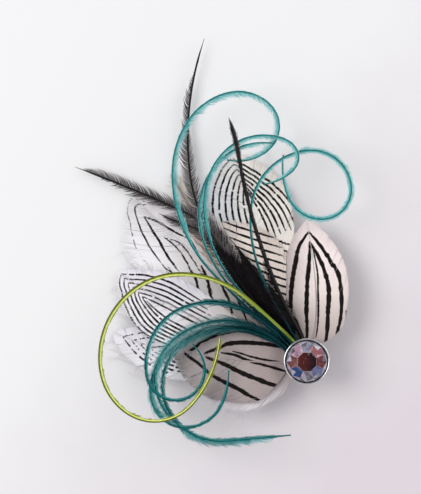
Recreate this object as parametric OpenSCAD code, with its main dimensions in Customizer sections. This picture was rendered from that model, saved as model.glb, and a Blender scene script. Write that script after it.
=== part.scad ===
// Feather fascinator on a single-prong alligator clip.
// Units are millimetres. The clip's fixed blade lies on the plane z = 0 with its
// underside, the origin is the middle of its grip, +Y runs out along the jaws
// and the feathers' fan, and +Z points away from the wearer's hair.
// Plan angles are headings: 0 is +Y and they grow towards +X.

/* [Stone and setting] */
// Diameter of the rhinestone
stone_d = 15.6; // [13:0.1:18]
// Height of the rhinestone above the floor of its cup
stone_h = 3.9; // [3.2:0.1:6]
// Height of the stone's upright girdle
girdle_h = 1; // [0.6:0.1:1.4]
// Diameter of the ring of corners between crown and girdle facets
crown_d = 12.2; // [11:0.1:12.6]
// Diameter over the corners of the octagonal table
table_d = 7.4; // [5:0.1:9]
// Number of main facets round the crown
facets = 8; // [6:2:12]
// Thickness of the cup's sheet
cup_t = 0.4; // [0.3:0.05:0.6]
// Clearance between the stone and its cup
stone_fit = 0.05; // [0.03:0.01:0.1]
// Radius of the rim rolled over the stone
rim_r = 0.32; // [0.25:0.01:0.4]
// Distance by which the rolled rim stands out from the cup's wall
rim_out = 0.04; // [0.02:0.01:0.1]

/* [Hair clip] */
// Distance from the middle of the grip back to the hinge pin
grip_to_pin = 14; // [12:0.5:18]
// Distance from the hinge pin back to the stone's axis
pin_to_stone = 8; // [6:0.5:10]
// Length of the blade ahead of the pin
jaw_len = 31; // [26:0.5:36]
// Length of the thumb end behind the pin
thumb_len = 15; // [13:0.5:18]
// Width of the blade over its hinge ears
blade_w = 7.5; // [7:0.1:9]
// Width of the blade at its tip
blade_tip_w = 5; // [4.6:0.1:6]
// Thickness of the steel strip
strip_t = 0.6; // [0.5:0.05:0.8]
// Diameter of the hinge pin
pin_d = 1.5; // [1.2:0.1:1.6]
// Diameter of the pin's riveted heads
pin_head_d = 2.4; // [2:0.1:3]
// Depth of the pin's axis below the blade
pin_drop = 4.2; // [4:0.1:5]
// Depth of the lever's end below the blade
lever_drop = 10; // [9.4:0.1:12]
// Clearance of the pin in the blade's ears
pin_fit = 0.05; // [0.03:0.01:0.1]
// Running clearance of the prong on the pin and between the ears
run_fit = 0.08; // [0.04:0.01:0.1]
// Side gap between the prong and the blade's ears
ear_gap = 0.3; // [0.25:0.05:0.5]
// Gap left between the closed jaws
jaw_gap = 0.3; // [0.3:0.05:0.6]
// Pitch of the teeth
tooth_pitch = 1.5; // [1.2:0.1:2]
// Depth of the notches between the teeth
tooth_h = 0.7; // [0.4:0.1:0.9]
// Length of each row of teeth
teeth_len = 9; // [6:0.5:10]
// Number of ribs pressed across the lever's thumb end
grip_ribs = 4; // [2:1:5]
// Distance from one rib to the next
rib_pitch = 1.6; // [1.4:0.1:2]
// Width of each rib
rib_w = 0.8; // [0.6:0.05:0.9]

/* [Torsion spring] */
// Wire diameter
wire_d = 0.7; // [0.5:0.05:0.75]
// Mean diameter of the coil
coil_d = 2.7; // [2.6:0.05:2.9]
// Number of full turns
coil_turns = 3; // [2:1:3]
// Gap between the turns
coil_gap = 0.08; // [0.05:0.01:0.15]
// Length of the legs from the pin to their ends
leg_len = 10; // [8:0.5:12]

/* [Felt] */
// Thickness of the backing felt
backing_t = 1.2; // [0.8:0.1:2]
// Thickness of the pad that carries the quills
pad_t = 1; // [0.8:0.1:2]
// Radius of the felt under the stone
felt_r = 7.4; // [6:0.1:8]
// Radius of the felt's broad end
felt_end_r = 8.4; // [7:0.1:10]
// Distance between the centres of the felt's two ends
felt_reach = 17; // [14:0.5:20]
// Margin by which the pad stays inside the backing
felt_step = 0.6; // [0.4:0.1:1]

/* [Striped feathers] */
// Diameter of a striped feather's quill at its butt
quill_d = 0.8; // [0.6:0.05:0.9]
// Thickness of the vanes at their edges
vane_t = 0.16; // [0.12:0.02:0.2]
// Thickness of the shaft between the vanes
shaft_t = 0.46; // [0.3:0.02:0.46]
// Length of the right feather
right_len = 46; // [40:1:52]
// Width of the right feather
right_w = 23.5; // [16:0.5:26]
// Length of the top feather
top_len = 74; // [64:1:82]
// Width of the top feather
top_w = 30; // [18:0.5:33]
// Length of the centre feather
centre_len = 54; // [46:1:62]
// Width of the centre feather
centre_w = 24; // [14:0.5:27]
// Length of the upper left feather
upper_left_len = 82; // [70:1:88]
// Width of the upper left feather
upper_left_w = 27.5; // [18:0.5:30]
// Length of the left feather
left_len = 70; // [60:1:76]
// Width of the left feather
left_w = 24; // [16:0.5:27]
// Length of the lower left feather
lower_left_len = 66; // [56:1:72]
// Width of the lower left feather
lower_left_w = 19; // [14:0.5:22]
// Length of the front feather
front_len = 44; // [38:1:50]
// Width of the front feather
front_w = 27; // [16:0.5:30]
// Length of the white feather under the front one
under_len = 34; // [28:1:40]
// Width of the white feather under the front one
under_w = 17; // [10:0.5:20]
// Length of the tan feather
tan_len = 79; // [68:1:84]
// Width of the tan feather
tan_w = 9; // [6:0.5:12]

/* [Dark feathers] */
// Width of the spiky feathers over their barbs
spike_w = 4.6; // [3:0.2:6]
// Length of the spiky feather that points up
spike_top_len = 125; // [110:1:135]
// Length of the spiky feather that points left
spike_left_len = 108; // [95:1:115]
// Length of the short spiky feather beside it
spike_short_len = 72; // [64:1:80]
// Length of the bare black spear
spear_len = 87; // [78:1:96]
// Diameter of the spear at its butt
spear_d = 1; // [0.8:0.05:1]
// Length of the upper black feather
black_upper_len = 49; // [44:1:58]
// Length of the lower black feather
black_lower_len = 53; // [48:1:62]
// Width of the black feathers over their barbs
black_w = 8; // [6:0.5:10]

/* [Curled stems] */
// Diameter of a teal stem at its butt
curl_d = 0.9; // [0.7:0.05:0.9]
// Diameter of a teal stem at its tip
curl_tip_d = 0.5; // [0.3:0.05:0.7]
// Length of the high curl
high_len = 168; // [155:1:178]
// Length of the middle curl
middle_len = 133; // [124:1:142]
// Length of the middle curl's twin
twin_len = 104; // [96:1:110]
// Length of the right curl
right_curl_len = 156; // [146:1:164]
// Length of the long lower curl
long_len = 118; // [108:1:126]
// Length of the hooked lower curl
hook_len = 114; // [104:1:122]
// Length of the inner lower curl
inner_len = 84; // [76:1:92]
// Length of the small round curl
small_len = 118; // [108:1:126]
// Fall of the right curl from butt to tip, which takes it under itself
right_curl_fall = 2; // [1.8:0.1:2.4]
// Length of the lime curl
lime_len = 172; // [160:1:182]
// Diameter of the lime stem at its butt
lime_d = 1.2; // [1:0.05:1.2]
// Diameter of the lime stem at its tip
lime_tip_d = 1.1; // [0.6:0.05:1.2]

/* [Stacking] */
// Distance from the stone's axis to the butts of the quills
butt_r = 5; // [4.6:0.1:5.5]
// Height from one layer of butts under the stone to the next
layer_pitch = 1.1; // [1.1:0.05:1.3]
// Height from one feather of the fan to the next
fan_pitch = 0.5; // [0.5:0.02:0.6]
// Height from one curl to the next
curl_pitch = 1.1; // [1.1:0.05:1.4]
// Clearance between the top of the fan and the lowest curls
curl_lift = 0.35; // [0.3:0.05:0.6]
// Clearance between pieces that lie on each other
lay_gap = 0.05; // [0.03:0.01:0.1]
// Fall of the fan's tips below their quills
fan_fall = 13.4; // [12:0.1:14]

/* [Hidden] */
$fn = 48;

// Places along the clip
pin_y = -grip_to_pin;
hub_y = pin_y - pin_to_stone;
thumb_y = pin_y - thumb_len;
tip_y = pin_y + jaw_len;

// Heights of the stack on the clip
felt_z = strip_t;
pad_z = felt_z + backing_t;
quill_z = pad_z + pad_t;
function layer_z(layer) = quill_z + lay_gap + quill_d / 2 + layer * layer_pitch;
cup_z = layer_z(3) + lime_d / 2 + lay_gap;
stone_z = cup_z + cup_t;
cup_r = stone_d / 2 + stone_fit + cup_t;

// Stems climb from their layer under the stone to their own level in the fan,
// over a ring from the setting's edge outwards.
climb_gap = 0.6;
climb_run = 5.5;
spread_run = 8;
climb_from = cup_r + climb_gap;
climb_to = climb_from + climb_run;
spread_to = climb_from + spread_run;
// The fan droops between these distances from the stone's axis
fall_from = 25;
fall_to = 78;
fan_levels = 10;
curl_base_z = layer_z(0) + (fan_levels - 1) * fan_pitch + shaft_t / 2 + curl_lift + curl_d / 2;

// Spacing of the stations along a stem, and the ease between its bends
curl_step = 2.4;
rib_step = 2.2;
ease = 3;
// How far the barbs sweep forward, as a share of their reach
barb_sweep = 0.8;
// Power that shapes the tips of the vanes: the smaller, the blunter
tip_blunt = 0.6;
// Share of its butt that a shaft loses by its tip, and the width of its flat ridge
shaft_taper = 0.75;
ridge_share = 0.4;
// Rise of the stone's lower facets for each millimetre inwards, the distance by which
// they start inside the girdle, and the thickness of the slices that the crown is hulled from
crown_slope = 0.8;
girdle_inset = 0.1;
slice_t = 0.01;
// Distance by which the glue stays inside the butts of the quills
glue_inset = 0.7;

// A stem is [length, seat angle round the stone, layer, level, line], and its line is
// a list of [share of the length, heading there].
RIGHT = [right_len, 60, 1, 2, [[0, 65], [0.2, 50], [0.5, 40], [1, 35]]];
TOP = [top_len, 30, 0, 1, [[0, 10], [0.2, 25], [0.6, 30], [1, 25]]];
CENTRE = [centre_len, 16, 0, 3, [[0, 0], [0.2, 12], [0.5, 16], [1, 12]]];
UPPER_LEFT = [upper_left_len, -10, 0, 2, [[0, 4], [0.15, 2], [0.5, -4], [1, 0]]];
LEFT = [left_len, -24, 0, 3, [[0, -15], [0.15, -30], [0.5, -20], [1, -10]]];
LOWER_LEFT = [lower_left_len, -38, 0, 0, [[0, -30], [0.15, -45], [0.6, -40], [1, -20]]];
FRONT = [front_len, -54, 1, 5, [[0, -40], [0.2, -45], [0.5, -35], [1, -35]]];
UNDER = [under_len, -68, 0, 1, [[0, -70], [0.2, -70], [0.6, -60], [1, -40]]];
TAN = [tan_len, 3, 0, 0, [[0, 5], [0.15, 5], [0.5, 10], [1, 15]]];

SPIKE_LEFT = [spike_left_len, -6, 1, 5, [[0, 5], [0.1, 10], [0.25, 10], [0.4, 20], [0.5, -5],
    [0.6, -20], [1, -25]]];
SPIKE_SHORT = [spike_short_len, -18, 1, 6, [[0, 2], [0.15, 12], [0.5, 10], [0.7, 5], [0.85, -30],
    [1, -15]]];
SPIKE_TOP = [spike_top_len, 18, 1, 7, [[0, 12], [0.1, 0], [0.2, 10], [0.35, 6], [0.5, 24], [0.6, 38],
    [1, 64]]];
BLACK_LOWER = [black_lower_len, 6, 1, 8, [[0, 10], [0.2, 0], [0.4, 5], [0.7, 12], [1, 5]]];
BLACK_UPPER = [black_upper_len, 30, 1, 9, [[0, 10], [0.2, 15], [0.5, 15], [1, 0]]];
SPEAR = [spear_len, 44, 2, 3, [[0, 22], [0.1, 16], [0.3, 22], [0.6, 30], [0.85, 36], [1, 24]]];

LONG = [long_len, -14, 2, 0, [[0, -5], [0.05, -10], [0.25, -50], [0.45, -110], [0.6, -165],
    [0.8, -230], [1, -230]]];
HIGH = [high_len, -2, 2, 0, [[0, 0], [0.05, -5], [0.25, 2], [0.4, 30], [0.5, 50], [0.6, 80],
    [0.7, 120], [0.8, 180], [0.9, 270], [1, 330]]];
TWIN = [twin_len, 10, 2, 1, [[0, -5], [0.05, 0], [0.25, -5], [0.5, 25], [0.65, 55], [0.8, 90],
    [1, 145]]];
RIGHT_CURL = [right_curl_len, 22, 2, 0, [[0, 15], [0.1, 14], [0.2, 24], [0.35, 50], [0.45, 90],
    [0.55, 130], [0.7, 225], [0.8, 312], [0.9, 382], [1, 415]]];
HOOK = [hook_len, -26, 3, 1, [[0, -5], [0.05, -5], [0.2, -40], [0.45, -90], [0.6, -146],
    [0.75, -226], [0.9, -295], [1, -315]]];
INNER = [inner_len, -15, 3, 2, [[0, -5], [0.1, -5], [0.25, -30], [0.6, -90], [0.8, -145],
    [1, -190]]];
SMALL = [small_len, -4, 3, 3, [[0, -5], [0.05, 5], [0.2, -18], [0.4, -68], [0.5, -102],
    [0.65, -145], [0.8, -245], [0.9, -310], [1, -365]]];
MIDDLE = [middle_len, 7, 3, 2, [[0, 5], [0.05, 0], [0.2, 0], [0.4, 28], [0.55, 62], [0.65, 95],
    [0.75, 135], [0.8, 150], [0.85, 190], [0.9, 265], [1, 310]]];
LIME = [lime_len, 20, 3, 4, [[0, 4], [0.05, -2], [0.15, -4], [0.3, -44], [0.4, -80], [0.6, -145],
    [0.7, -190], [0.85, -275], [1, -310]]];

// ---- Lines in plan ----

function ahead(heading) = [sin(heading), cos(heading)];
function aside(heading) = [cos(heading), -sin(heading)];

// Heading at a distance along a stem, eased over its bends
function heading_at(stem, s) = let (len = stem[0], line = stem[4])
    (lookup((s - ease) / len, line) + lookup(s / len, line) + lookup((s + ease) / len, line)) / 3;

// Stations [plan point from the stone's axis, heading, distance] along a stem
function stations(stem, pitch) = let (n = ceil(stem[0] / pitch), step = stem[0] / n)
    [for (i = 0, p = butt_r * ahead(stem[1]); i <= n;
        p = p + step * ahead(heading_at(stem, (i + 0.5) * step)), i = i + 1)
        [p, heading_at(stem, i * step), i * step]];

// ---- Heights ----

// Smooth step from 0 at a to 1 at b
function ramp(x, a, b) = let (t = min(1, max(0, (x - a) / (b - a)))) t * t * (3 - 2 * t);

// Height of a feather of the fan at a plan distance from the stone's axis
function fan_height(stem, r) = let (seat = layer_z(stem[2]), own = layer_z(0) + stem[3] * fan_pitch)
    seat + (own - seat) * ramp(r, climb_from, climb_to) - fan_fall * ramp(r, fall_from, fall_to);

// Height of a curl, which stays above the fan
function curl_height(stem, r) = let (seat = layer_z(stem[2]))
    seat + (curl_base_z - seat) * ramp(r, climb_from, climb_to)
        + stem[3] * curl_pitch * ramp(r, climb_from, spread_to);

// ---- Bodies along a stem ----

// Closed skin over a list of rings with as many points each
module skin(rings) {
    m = len(rings[0]);
    n = len(rings);
    walls = [for (i = [0:n - 2], j = [0:m - 1])
        let (a = i * m + j, b = i * m + (j + 1) % m)
        each [[a, a + m, b], [b, a + m, b + m]]];
    first_cap = [for (j = [1:m - 2]) [0, j, j + 1]];
    last_cap = [for (j = [1:m - 2]) let (k = (n - 1) * m) [k, k + j + 1, k + j]];
    translate([0, hub_y, 0])
        polyhedron(points = [for (ring = rings) each ring], faces = concat(first_cap, walls, last_cap));
}

// Round stem that tapers from butt to tip
module curl(stem, butt_d = curl_d, tip_d = curl_tip_d, fall = 0, sides = 6) {
    skin([for (st = stations(stem, curl_step))
        let (t = st[2] / stem[0], radius = (butt_d + (tip_d - butt_d) * t) / 2,
            z = curl_height(stem, norm(st[0])) - fall * t)
        [for (k = [0:sides - 1]) let (a = -360 * k / sides, p = st[0] + radius * cos(a) * aside(st[1]))
            [p.x, p.y, z + radius * sin(a)]]]);
}

// Share of the full width at a share t of the vanes' length
function fullness(t, widest, base) = t < widest
    ? base + (1 - base) * sin(90 * t / widest)
    : pow(cos(90 * (min(t, 1) - widest) / (1 - widest)), tip_blunt);

// Feather with a round quill, a shaft and a vane on each side. Its vanes lie between two
// shares of its length, their ribs sweep forward as barbs do, and every other rib is
// shorter, which notches the edges. The base gives what share of their full width the
// left and the right vane start with.
module feather(stem, width, left_share = 0.5, from = 0.15, to = 1, widest = 0.4, base = [0.3, 0.3],
        notch = 0.1, butt_d = quill_d) {
    all = stations(stem, rib_step);
    skin([for (i = [0:len(all) - 1])
        let (st = all[i], share = st[2] / stem[0], t = (share - from) / (to - from),
            vaned = t >= 0 && t < 1,
            full = vaned ? width * (i % 2 == 0 ? 1 : 1 - notch) : 0,
            radius = butt_d / 2 * (1 - shaft_taper * share), ridge = radius * ridge_share,
            rise = radius + (min(radius, shaft_t / 2) - radius) * ramp(norm(st[0]), climb_from, climb_to),
            left = max(full * left_share * fullness(t, widest, base[0]), radius),
            right = max(full * (1 - left_share) * fullness(t, widest, base[1]), radius),
            sweep = vaned ? barb_sweep * (1 - t) : 0,
            edge = vaned ? vane_t / 2 : ridge)
        [for (c = [[-left, -edge], [-left, edge], [-ridge, rise], [ridge, rise],
                [right, edge], [right, -edge], [ridge, -rise], [-ridge, -rise]])
            let (p = st[0] + c[0] * aside(st[1]) + (abs(c[0]) > radius ? abs(c[0]) * sweep : 0) * ahead(st[1]))
            [p.x, p.y, fan_height(stem, norm(p)) + c[1]]]]);
}

// ---- Setting ----

module setting_cup() {
    color("silver") translate([0, hub_y, cup_z]) rotate_extrude() {
        square([cup_r, cup_t]);
        translate([cup_r - cup_t, 0]) square([cup_t, cup_t + girdle_h + rim_r]);
        translate([cup_r - rim_r + rim_out, cup_t + girdle_h + rim_r]) circle(r = rim_r, $fn = 24);
    }
}

module stone() {
    color("plum") translate([0, hub_y, stone_z]) {
        cylinder(d = stone_d, h = girdle_h);
        hull() {
            translate([0, 0, girdle_h - slice_t]) rotate(90 / facets)
                cylinder(d = stone_d - 2 * girdle_inset, h = slice_t, $fn = 2 * facets);
            translate([0, 0, girdle_h + (stone_d - crown_d) / 2 * crown_slope]) rotate(180 / facets)
                cylinder(d = crown_d, h = slice_t, $fn = facets);
            translate([0, 0, stone_h - slice_t]) rotate(180 / facets)
                cylinder(d = table_d, h = slice_t, $fn = facets);
        }
    }
}

module glue_core() {
    color("ivory") translate([0, hub_y, quill_z])
        cylinder(r = butt_r - glue_inset, h = cup_z - quill_z);
}

// ---- Felt ----

module felt_sheet(z, t, inset) {
    translate([0, hub_y, z]) hull() {
        cylinder(r = felt_r - inset, h = t, $fn = 32);
        translate([0, felt_reach, 0]) cylinder(r = felt_end_r - inset, h = t, $fn = 32);
    }
}

module felt_backing() {
    color("dimgray") felt_sheet(felt_z, backing_t, 0);
}

module felt_pad() {
    color("black") felt_sheet(pad_z, pad_t, felt_step);
}

// ---- Clip ----

// Metal left round the pin's heads in the ears
ear_margin = 0.8;
// Distance by which the prong ends short of the blade, and its teeth short of the blade's tip
prong_back = 1;
teeth_back = 3.5;
// Share of the prong's thickness by which its ears reach into its plate
ear_root = 0.7;
// Depth by which the teeth's flanges reach below their notches
flange_root = 0.1;
ear_r = pin_head_d / 2 + ear_margin;
prong_w = blade_w - 2 * (strip_t + ear_gap);
jaw_end_z = -jaw_gap - strip_t;
// Underside of the prong and lever, as [distance ahead of the pin, height]
PRONG_LINE = [[jaw_len - prong_back, jaw_end_z], [22, -3.4], [12, -5.7], [4, -6.5], [-4, -6.9],
    [-thumb_len, -lever_drop]];

// Height of the prong's underside at a distance ahead of the pin
function prong_underside(y) = lookup(y, [for (i = [len(PRONG_LINE) - 1:-1:0]) PRONG_LINE[i]]);

module across(w) {
    rotate([90, 0, 90]) linear_extrude(height = w, center = true) children();
}

// Plan of a strip with round ends of two widths
module strip_plan(back_y, front_y, back_w, front_w) {
    translate([0, back_y + back_w / 2]) circle(d = back_w);
    translate([0, front_y - front_w / 2]) circle(d = front_w);
    polygon([[-back_w / 2, back_y + back_w / 2], [-back_w / 2, pin_y + ear_r],
        [-front_w / 2, front_y - front_w / 2], [front_w / 2, front_y - front_w / 2],
        [back_w / 2, pin_y + ear_r], [back_w / 2, back_y + back_w / 2]]);
}

module ears(outer_w, top_z, bottom_z, hole_d) {
    for (side = [-1, 1]) translate([side * (outer_w - strip_t) / 2, pin_y, 0]) across(strip_t)
        difference() {
            union() {
                translate([0, -pin_drop]) circle(r = ear_r);
                translate([-ear_r, bottom_z]) square([2 * ear_r, top_z - bottom_z]);
            }
            translate([0, -pin_drop]) circle(d = hole_d);
        }
}

module clip_blade() {
    color("silver") {
        linear_extrude(height = strip_t) strip_plan(thumb_y, tip_y, blade_w, blade_tip_w);
        ears(blade_w, strip_t / 2, -pin_drop, pin_d + 2 * pin_fit);
    }
}

module clip_pin() {
    head_h = 0.4;
    color("gray") translate([0, pin_y, -pin_drop]) rotate([0, 90, 0]) {
        cylinder(d = pin_d, h = blade_w + 2 * lay_gap, center = true);
        for (side = [-1, 1]) translate([0, 0, side * (blade_w / 2 + lay_gap + head_h / 2)])
            cylinder(d = pin_head_d, h = head_h, center = true);
    }
}

module clip_prong() {
    // The ears grow out of the plate at its lowest place between them
    plate_z = prong_underside(-ear_r);
    color("silver") difference() {
        union() {
            intersection() {
                translate([0, pin_y, 0]) across(prong_w) polygon(concat(PRONG_LINE,
                    [for (i = [len(PRONG_LINE) - 1:-1:0]) PRONG_LINE[i] + [0, strip_t]]));
                translate([0, 0, -2 * lever_drop]) linear_extrude(height = 3 * lever_drop)
                    strip_plan(thumb_y, tip_y - prong_back, prong_w, blade_tip_w);
            }
            ears(prong_w, -pin_drop, plate_z + ear_root * strip_t, pin_d + 2 * run_fit);
            teeth();
            thumb_ribs();
        }
        translate([0, pin_y, -pin_drop]) rotate([0, 90, 0])
            cylinder(d = pin_d + 2 * run_fit, h = 2 * blade_w, center = true);
    }
}

// Half-round ribs across the outside of the lever, where the thumb presses
module thumb_ribs() {
    outermost = thumb_len - prong_w / 2;
    for (i = [0:grip_ribs - 1]) let (y = -outermost + i * rib_pitch)
        translate([0, pin_y, 0]) across(prong_w - 2 * rib_w)
            translate([y, prong_underside(y) + rib_w / 4]) circle(d = rib_w, $fn = 16);
}

// Saw-toothed flanges that stand up from both edges of the prong's jaw
module teeth() {
    start = jaw_len - teeth_back - teeth_len;
    count = floor(teeth_len / tooth_pitch);
    crest = -jaw_gap;
    foot = [for (y = [start, start + count * tooth_pitch]) prong_underside(y)];
    crests = [for (i = [0:count - 1]) let (y = start + i * tooth_pitch)
        each [[y, crest - tooth_h], [y + tooth_pitch / 2, crest]]];
    for (side = [-1, 1]) translate([side * (blade_tip_w / 2 - strip_t), pin_y, 0]) across(strip_t)
        polygon(concat([[start, foot[0] + strip_t / 2]], crests,
            [[start + count * tooth_pitch, crest - tooth_h],
                [start + count * tooth_pitch, min(crest - tooth_h, foot[1] + strip_t / 2) - flange_root]]));
}

// Wire from the leg under the blade, round the coil on the pin, to the leg on the lever
module clip_spring() {
    turn_steps = 14;
    pitch = wire_d + coil_gap;
    half = coil_turns * pitch / 2;
    steps = coil_turns * turn_steps;
    coil = [for (i = [0:steps]) let (a = 90 + 360 * i / turn_steps)
        [pitch * i / turn_steps - half, coil_d / 2 * cos(a), coil_d / 2 * sin(a)]];
    color("gray") translate([0, pin_y, -pin_drop])
        wire(concat([[-half, -leg_len, pin_drop - lay_gap - wire_d / 2]], coil,
            [[half, -leg_len, leg_end_z()]]));
}

// Height of the lever leg's end over the pin's axis
function leg_end_z() = prong_underside(-leg_len) + strip_t + lay_gap + wire_d / 2 + pin_drop;

// Round wire through a list of points
module wire(points, sides = 6) {
    n = len(points);
    tangents = [for (i = [0:n - 1]) let (v = points[min(n - 1, i + 1)] - points[max(0, i - 1)]) v / norm(v)];
    rings = [for (i = [0:n - 1])
        let (across_wire = cross(tangents[i], [1, 0, 0]), u = across_wire / norm(across_wire),
            v = cross(tangents[i], u))
        [for (k = [0:sides - 1]) let (a = -360 * k / sides)
            points[i] + wire_d / 2 * (cos(a) * u + sin(a) * v)]];
    m = sides;
    walls = [for (i = [0:n - 2], j = [0:m - 1]) let (a = i * m + j, b = i * m + (j + 1) % m)
        each [[a, b, a + m], [b, b + m, a + m]]];
    first_cap = [for (j = [1:m - 2]) [0, j + 1, j]];
    last_cap = [for (j = [1:m - 2]) let (k = (n - 1) * m) [k, k + j, k + j + 1]];
    polyhedron(points = [for (ring = rings) each ring], faces = concat(first_cap, walls, last_cap));
}

// ---- Feathers ----

module feather_right() {
    color("ivory") feather(RIGHT, right_w, from = 0.02, widest = 0.36, base = [0.3, 0.85]);
}
module feather_top() { color("ivory") feather(TOP, top_w, left_share = 0.53, widest = 0.62); }
module feather_centre() { color("ivory") feather(CENTRE, centre_w, left_share = 0.38, from = 0.2); }
module feather_upper_left() {
    color("ivory") feather(UPPER_LEFT, upper_left_w, left_share = 0.65, widest = 0.68);
}
module feather_left() { color("ivory") feather(LEFT, left_w, left_share = 0.58, widest = 0.55); }
module feather_lower_left() {
    color("ivory") feather(LOWER_LEFT, lower_left_w, left_share = 0.55, widest = 0.5);
}
module feather_front() {
    color("ivory") feather(FRONT, front_w, left_share = 0.57, from = 0.02, widest = 0.4, base = [0.95, 0.6]);
}
module feather_under() {
    color("white") feather(UNDER, under_w, left_share = 0.52, from = 0.02, base = [0.8, 0.4]);
}
module feather_tan() { color("tan") feather(TAN, tan_w, from = 0.4); }

module spike_top() { color("dimgray") feather(SPIKE_TOP, spike_w, from = 0.3, to = 0.86, notch = 0.5); }
module spike_left() { color("dimgray") feather(SPIKE_LEFT, spike_w, from = 0.3, to = 0.97, notch = 0.5); }
module spike_short() { color("dimgray") feather(SPIKE_SHORT, spike_w, from = 0.3, notch = 0.5); }
module spear() { color("black") curl(SPEAR, butt_d = spear_d, tip_d = curl_tip_d); }
module black_upper() { color("black") feather(BLACK_UPPER, black_w, from = 0.2, notch = 0.35); }
module black_lower() { color("black") feather(BLACK_LOWER, black_w, from = 0.2, notch = 0.35); }

module curl_high() { color("teal") curl(HIGH); }
module curl_middle() { color("teal") curl(MIDDLE); }
module curl_twin() { color("teal") curl(TWIN); }
module curl_right() { color("teal") curl(RIGHT_CURL, fall = right_curl_fall); }
module curl_long() { color("teal") curl(LONG); }
module curl_hook() { color("teal") curl(HOOK); }
module curl_inner() { color("teal") curl(INNER); }
module curl_small() { color("teal") curl(SMALL); }
module curl_lime() { color("yellowgreen") curl(LIME, butt_d = lime_d, tip_d = lime_tip_d); }

clip_blade();
clip_pin();
clip_prong();
clip_spring();
felt_backing();
felt_pad();
glue_core();
setting_cup();
stone();
feather_right();
feather_top();
feather_centre();
feather_upper_left();
feather_left();
feather_lower_left();
feather_front();
feather_under();
feather_tan();
spike_top();
spike_left();
spike_short();
spear();
black_upper();
black_lower();
curl_high();
curl_middle();
curl_twin();
curl_right();
curl_long();
curl_hook();
curl_inner();
curl_small();
curl_lime();
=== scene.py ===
import math

import bpy
import numpy as np
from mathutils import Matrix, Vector


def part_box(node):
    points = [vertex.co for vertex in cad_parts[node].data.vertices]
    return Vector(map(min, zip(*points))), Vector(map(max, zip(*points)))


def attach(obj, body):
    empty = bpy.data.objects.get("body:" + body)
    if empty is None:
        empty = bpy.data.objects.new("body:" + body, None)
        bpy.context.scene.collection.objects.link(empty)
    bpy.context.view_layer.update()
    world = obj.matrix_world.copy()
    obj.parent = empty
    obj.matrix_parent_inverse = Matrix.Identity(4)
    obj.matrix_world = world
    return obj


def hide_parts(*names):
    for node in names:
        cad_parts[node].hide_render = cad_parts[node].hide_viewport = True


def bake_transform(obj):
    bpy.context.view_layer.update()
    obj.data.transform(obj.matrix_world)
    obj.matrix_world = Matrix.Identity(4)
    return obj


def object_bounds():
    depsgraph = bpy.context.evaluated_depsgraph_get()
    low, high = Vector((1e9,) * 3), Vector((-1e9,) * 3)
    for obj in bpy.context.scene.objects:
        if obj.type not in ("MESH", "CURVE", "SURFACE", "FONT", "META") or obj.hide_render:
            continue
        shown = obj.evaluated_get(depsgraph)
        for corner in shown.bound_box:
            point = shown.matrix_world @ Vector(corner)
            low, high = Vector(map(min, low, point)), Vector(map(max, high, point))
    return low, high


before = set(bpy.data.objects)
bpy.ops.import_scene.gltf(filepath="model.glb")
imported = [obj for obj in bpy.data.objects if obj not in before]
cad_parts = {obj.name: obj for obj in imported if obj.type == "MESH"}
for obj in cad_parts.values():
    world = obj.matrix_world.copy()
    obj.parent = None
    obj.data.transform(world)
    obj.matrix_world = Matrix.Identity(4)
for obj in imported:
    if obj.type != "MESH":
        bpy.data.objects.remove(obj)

cad_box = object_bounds()
MM = 0.001


def box_mm(node):
    low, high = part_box(node)
    return np.array(low) / MM, np.array(high) / MM


cup_low, cup_high = box_mm("setting_cup")
HUB = (cup_low[:2] + cup_high[:2]) / 2
CUP_R = (cup_high[0] - cup_low[0]) / 2
PAD_TOP = box_mm("felt_pad")[1][2]

# ---------------------------------------------------------------- lines in plan

BUTT_R = 5.0  # how far from the stone's axis the butts are glued down
QUILL_D = 0.8
SHAFT_T = 0.46  # thickness of a shaft beyond its quill
CURL_D, CURL_TIP_D = 0.9, 0.5
LIME_D, LIME_TIP_D = 0.95, 0.6
LAY_GAP = 0.05
LAYER_PITCH = 1.1  # from one layer of butts on the pad to the next
FAN_PITCH, FAN_LEVELS = 0.5, 9  # the feathers' levels outside the cup
FAN_FALL = 13.4  # how far the fan droops between these distances
FALL_FROM, FALL_TO = 25.0, 78.0
CURL_PITCH = 1.1  # the curls' levels over the feathers
CURL_CLEAR = 0.35
RIGHT_CURL_FALL = 2.0
CLIMB_FROM = CUP_R + 0.6
CLIMB_TO = CLIMB_FROM + 5.5
SPREAD_TO = CLIMB_FROM + 8.0
SEAT_0 = PAD_TOP + LAY_GAP + QUILL_D / 2
CURL_BASE = SEAT_0 + FAN_LEVELS * FAN_PITCH + SHAFT_T / 2 + CURL_CLEAR + CURL_D / 2
RIB_STEP, CURL_STEP = 2.2, 2.4  # about how far apart a line's marks are
EASE = 3.0  # a heading is the mean of three places this far apart

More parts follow.
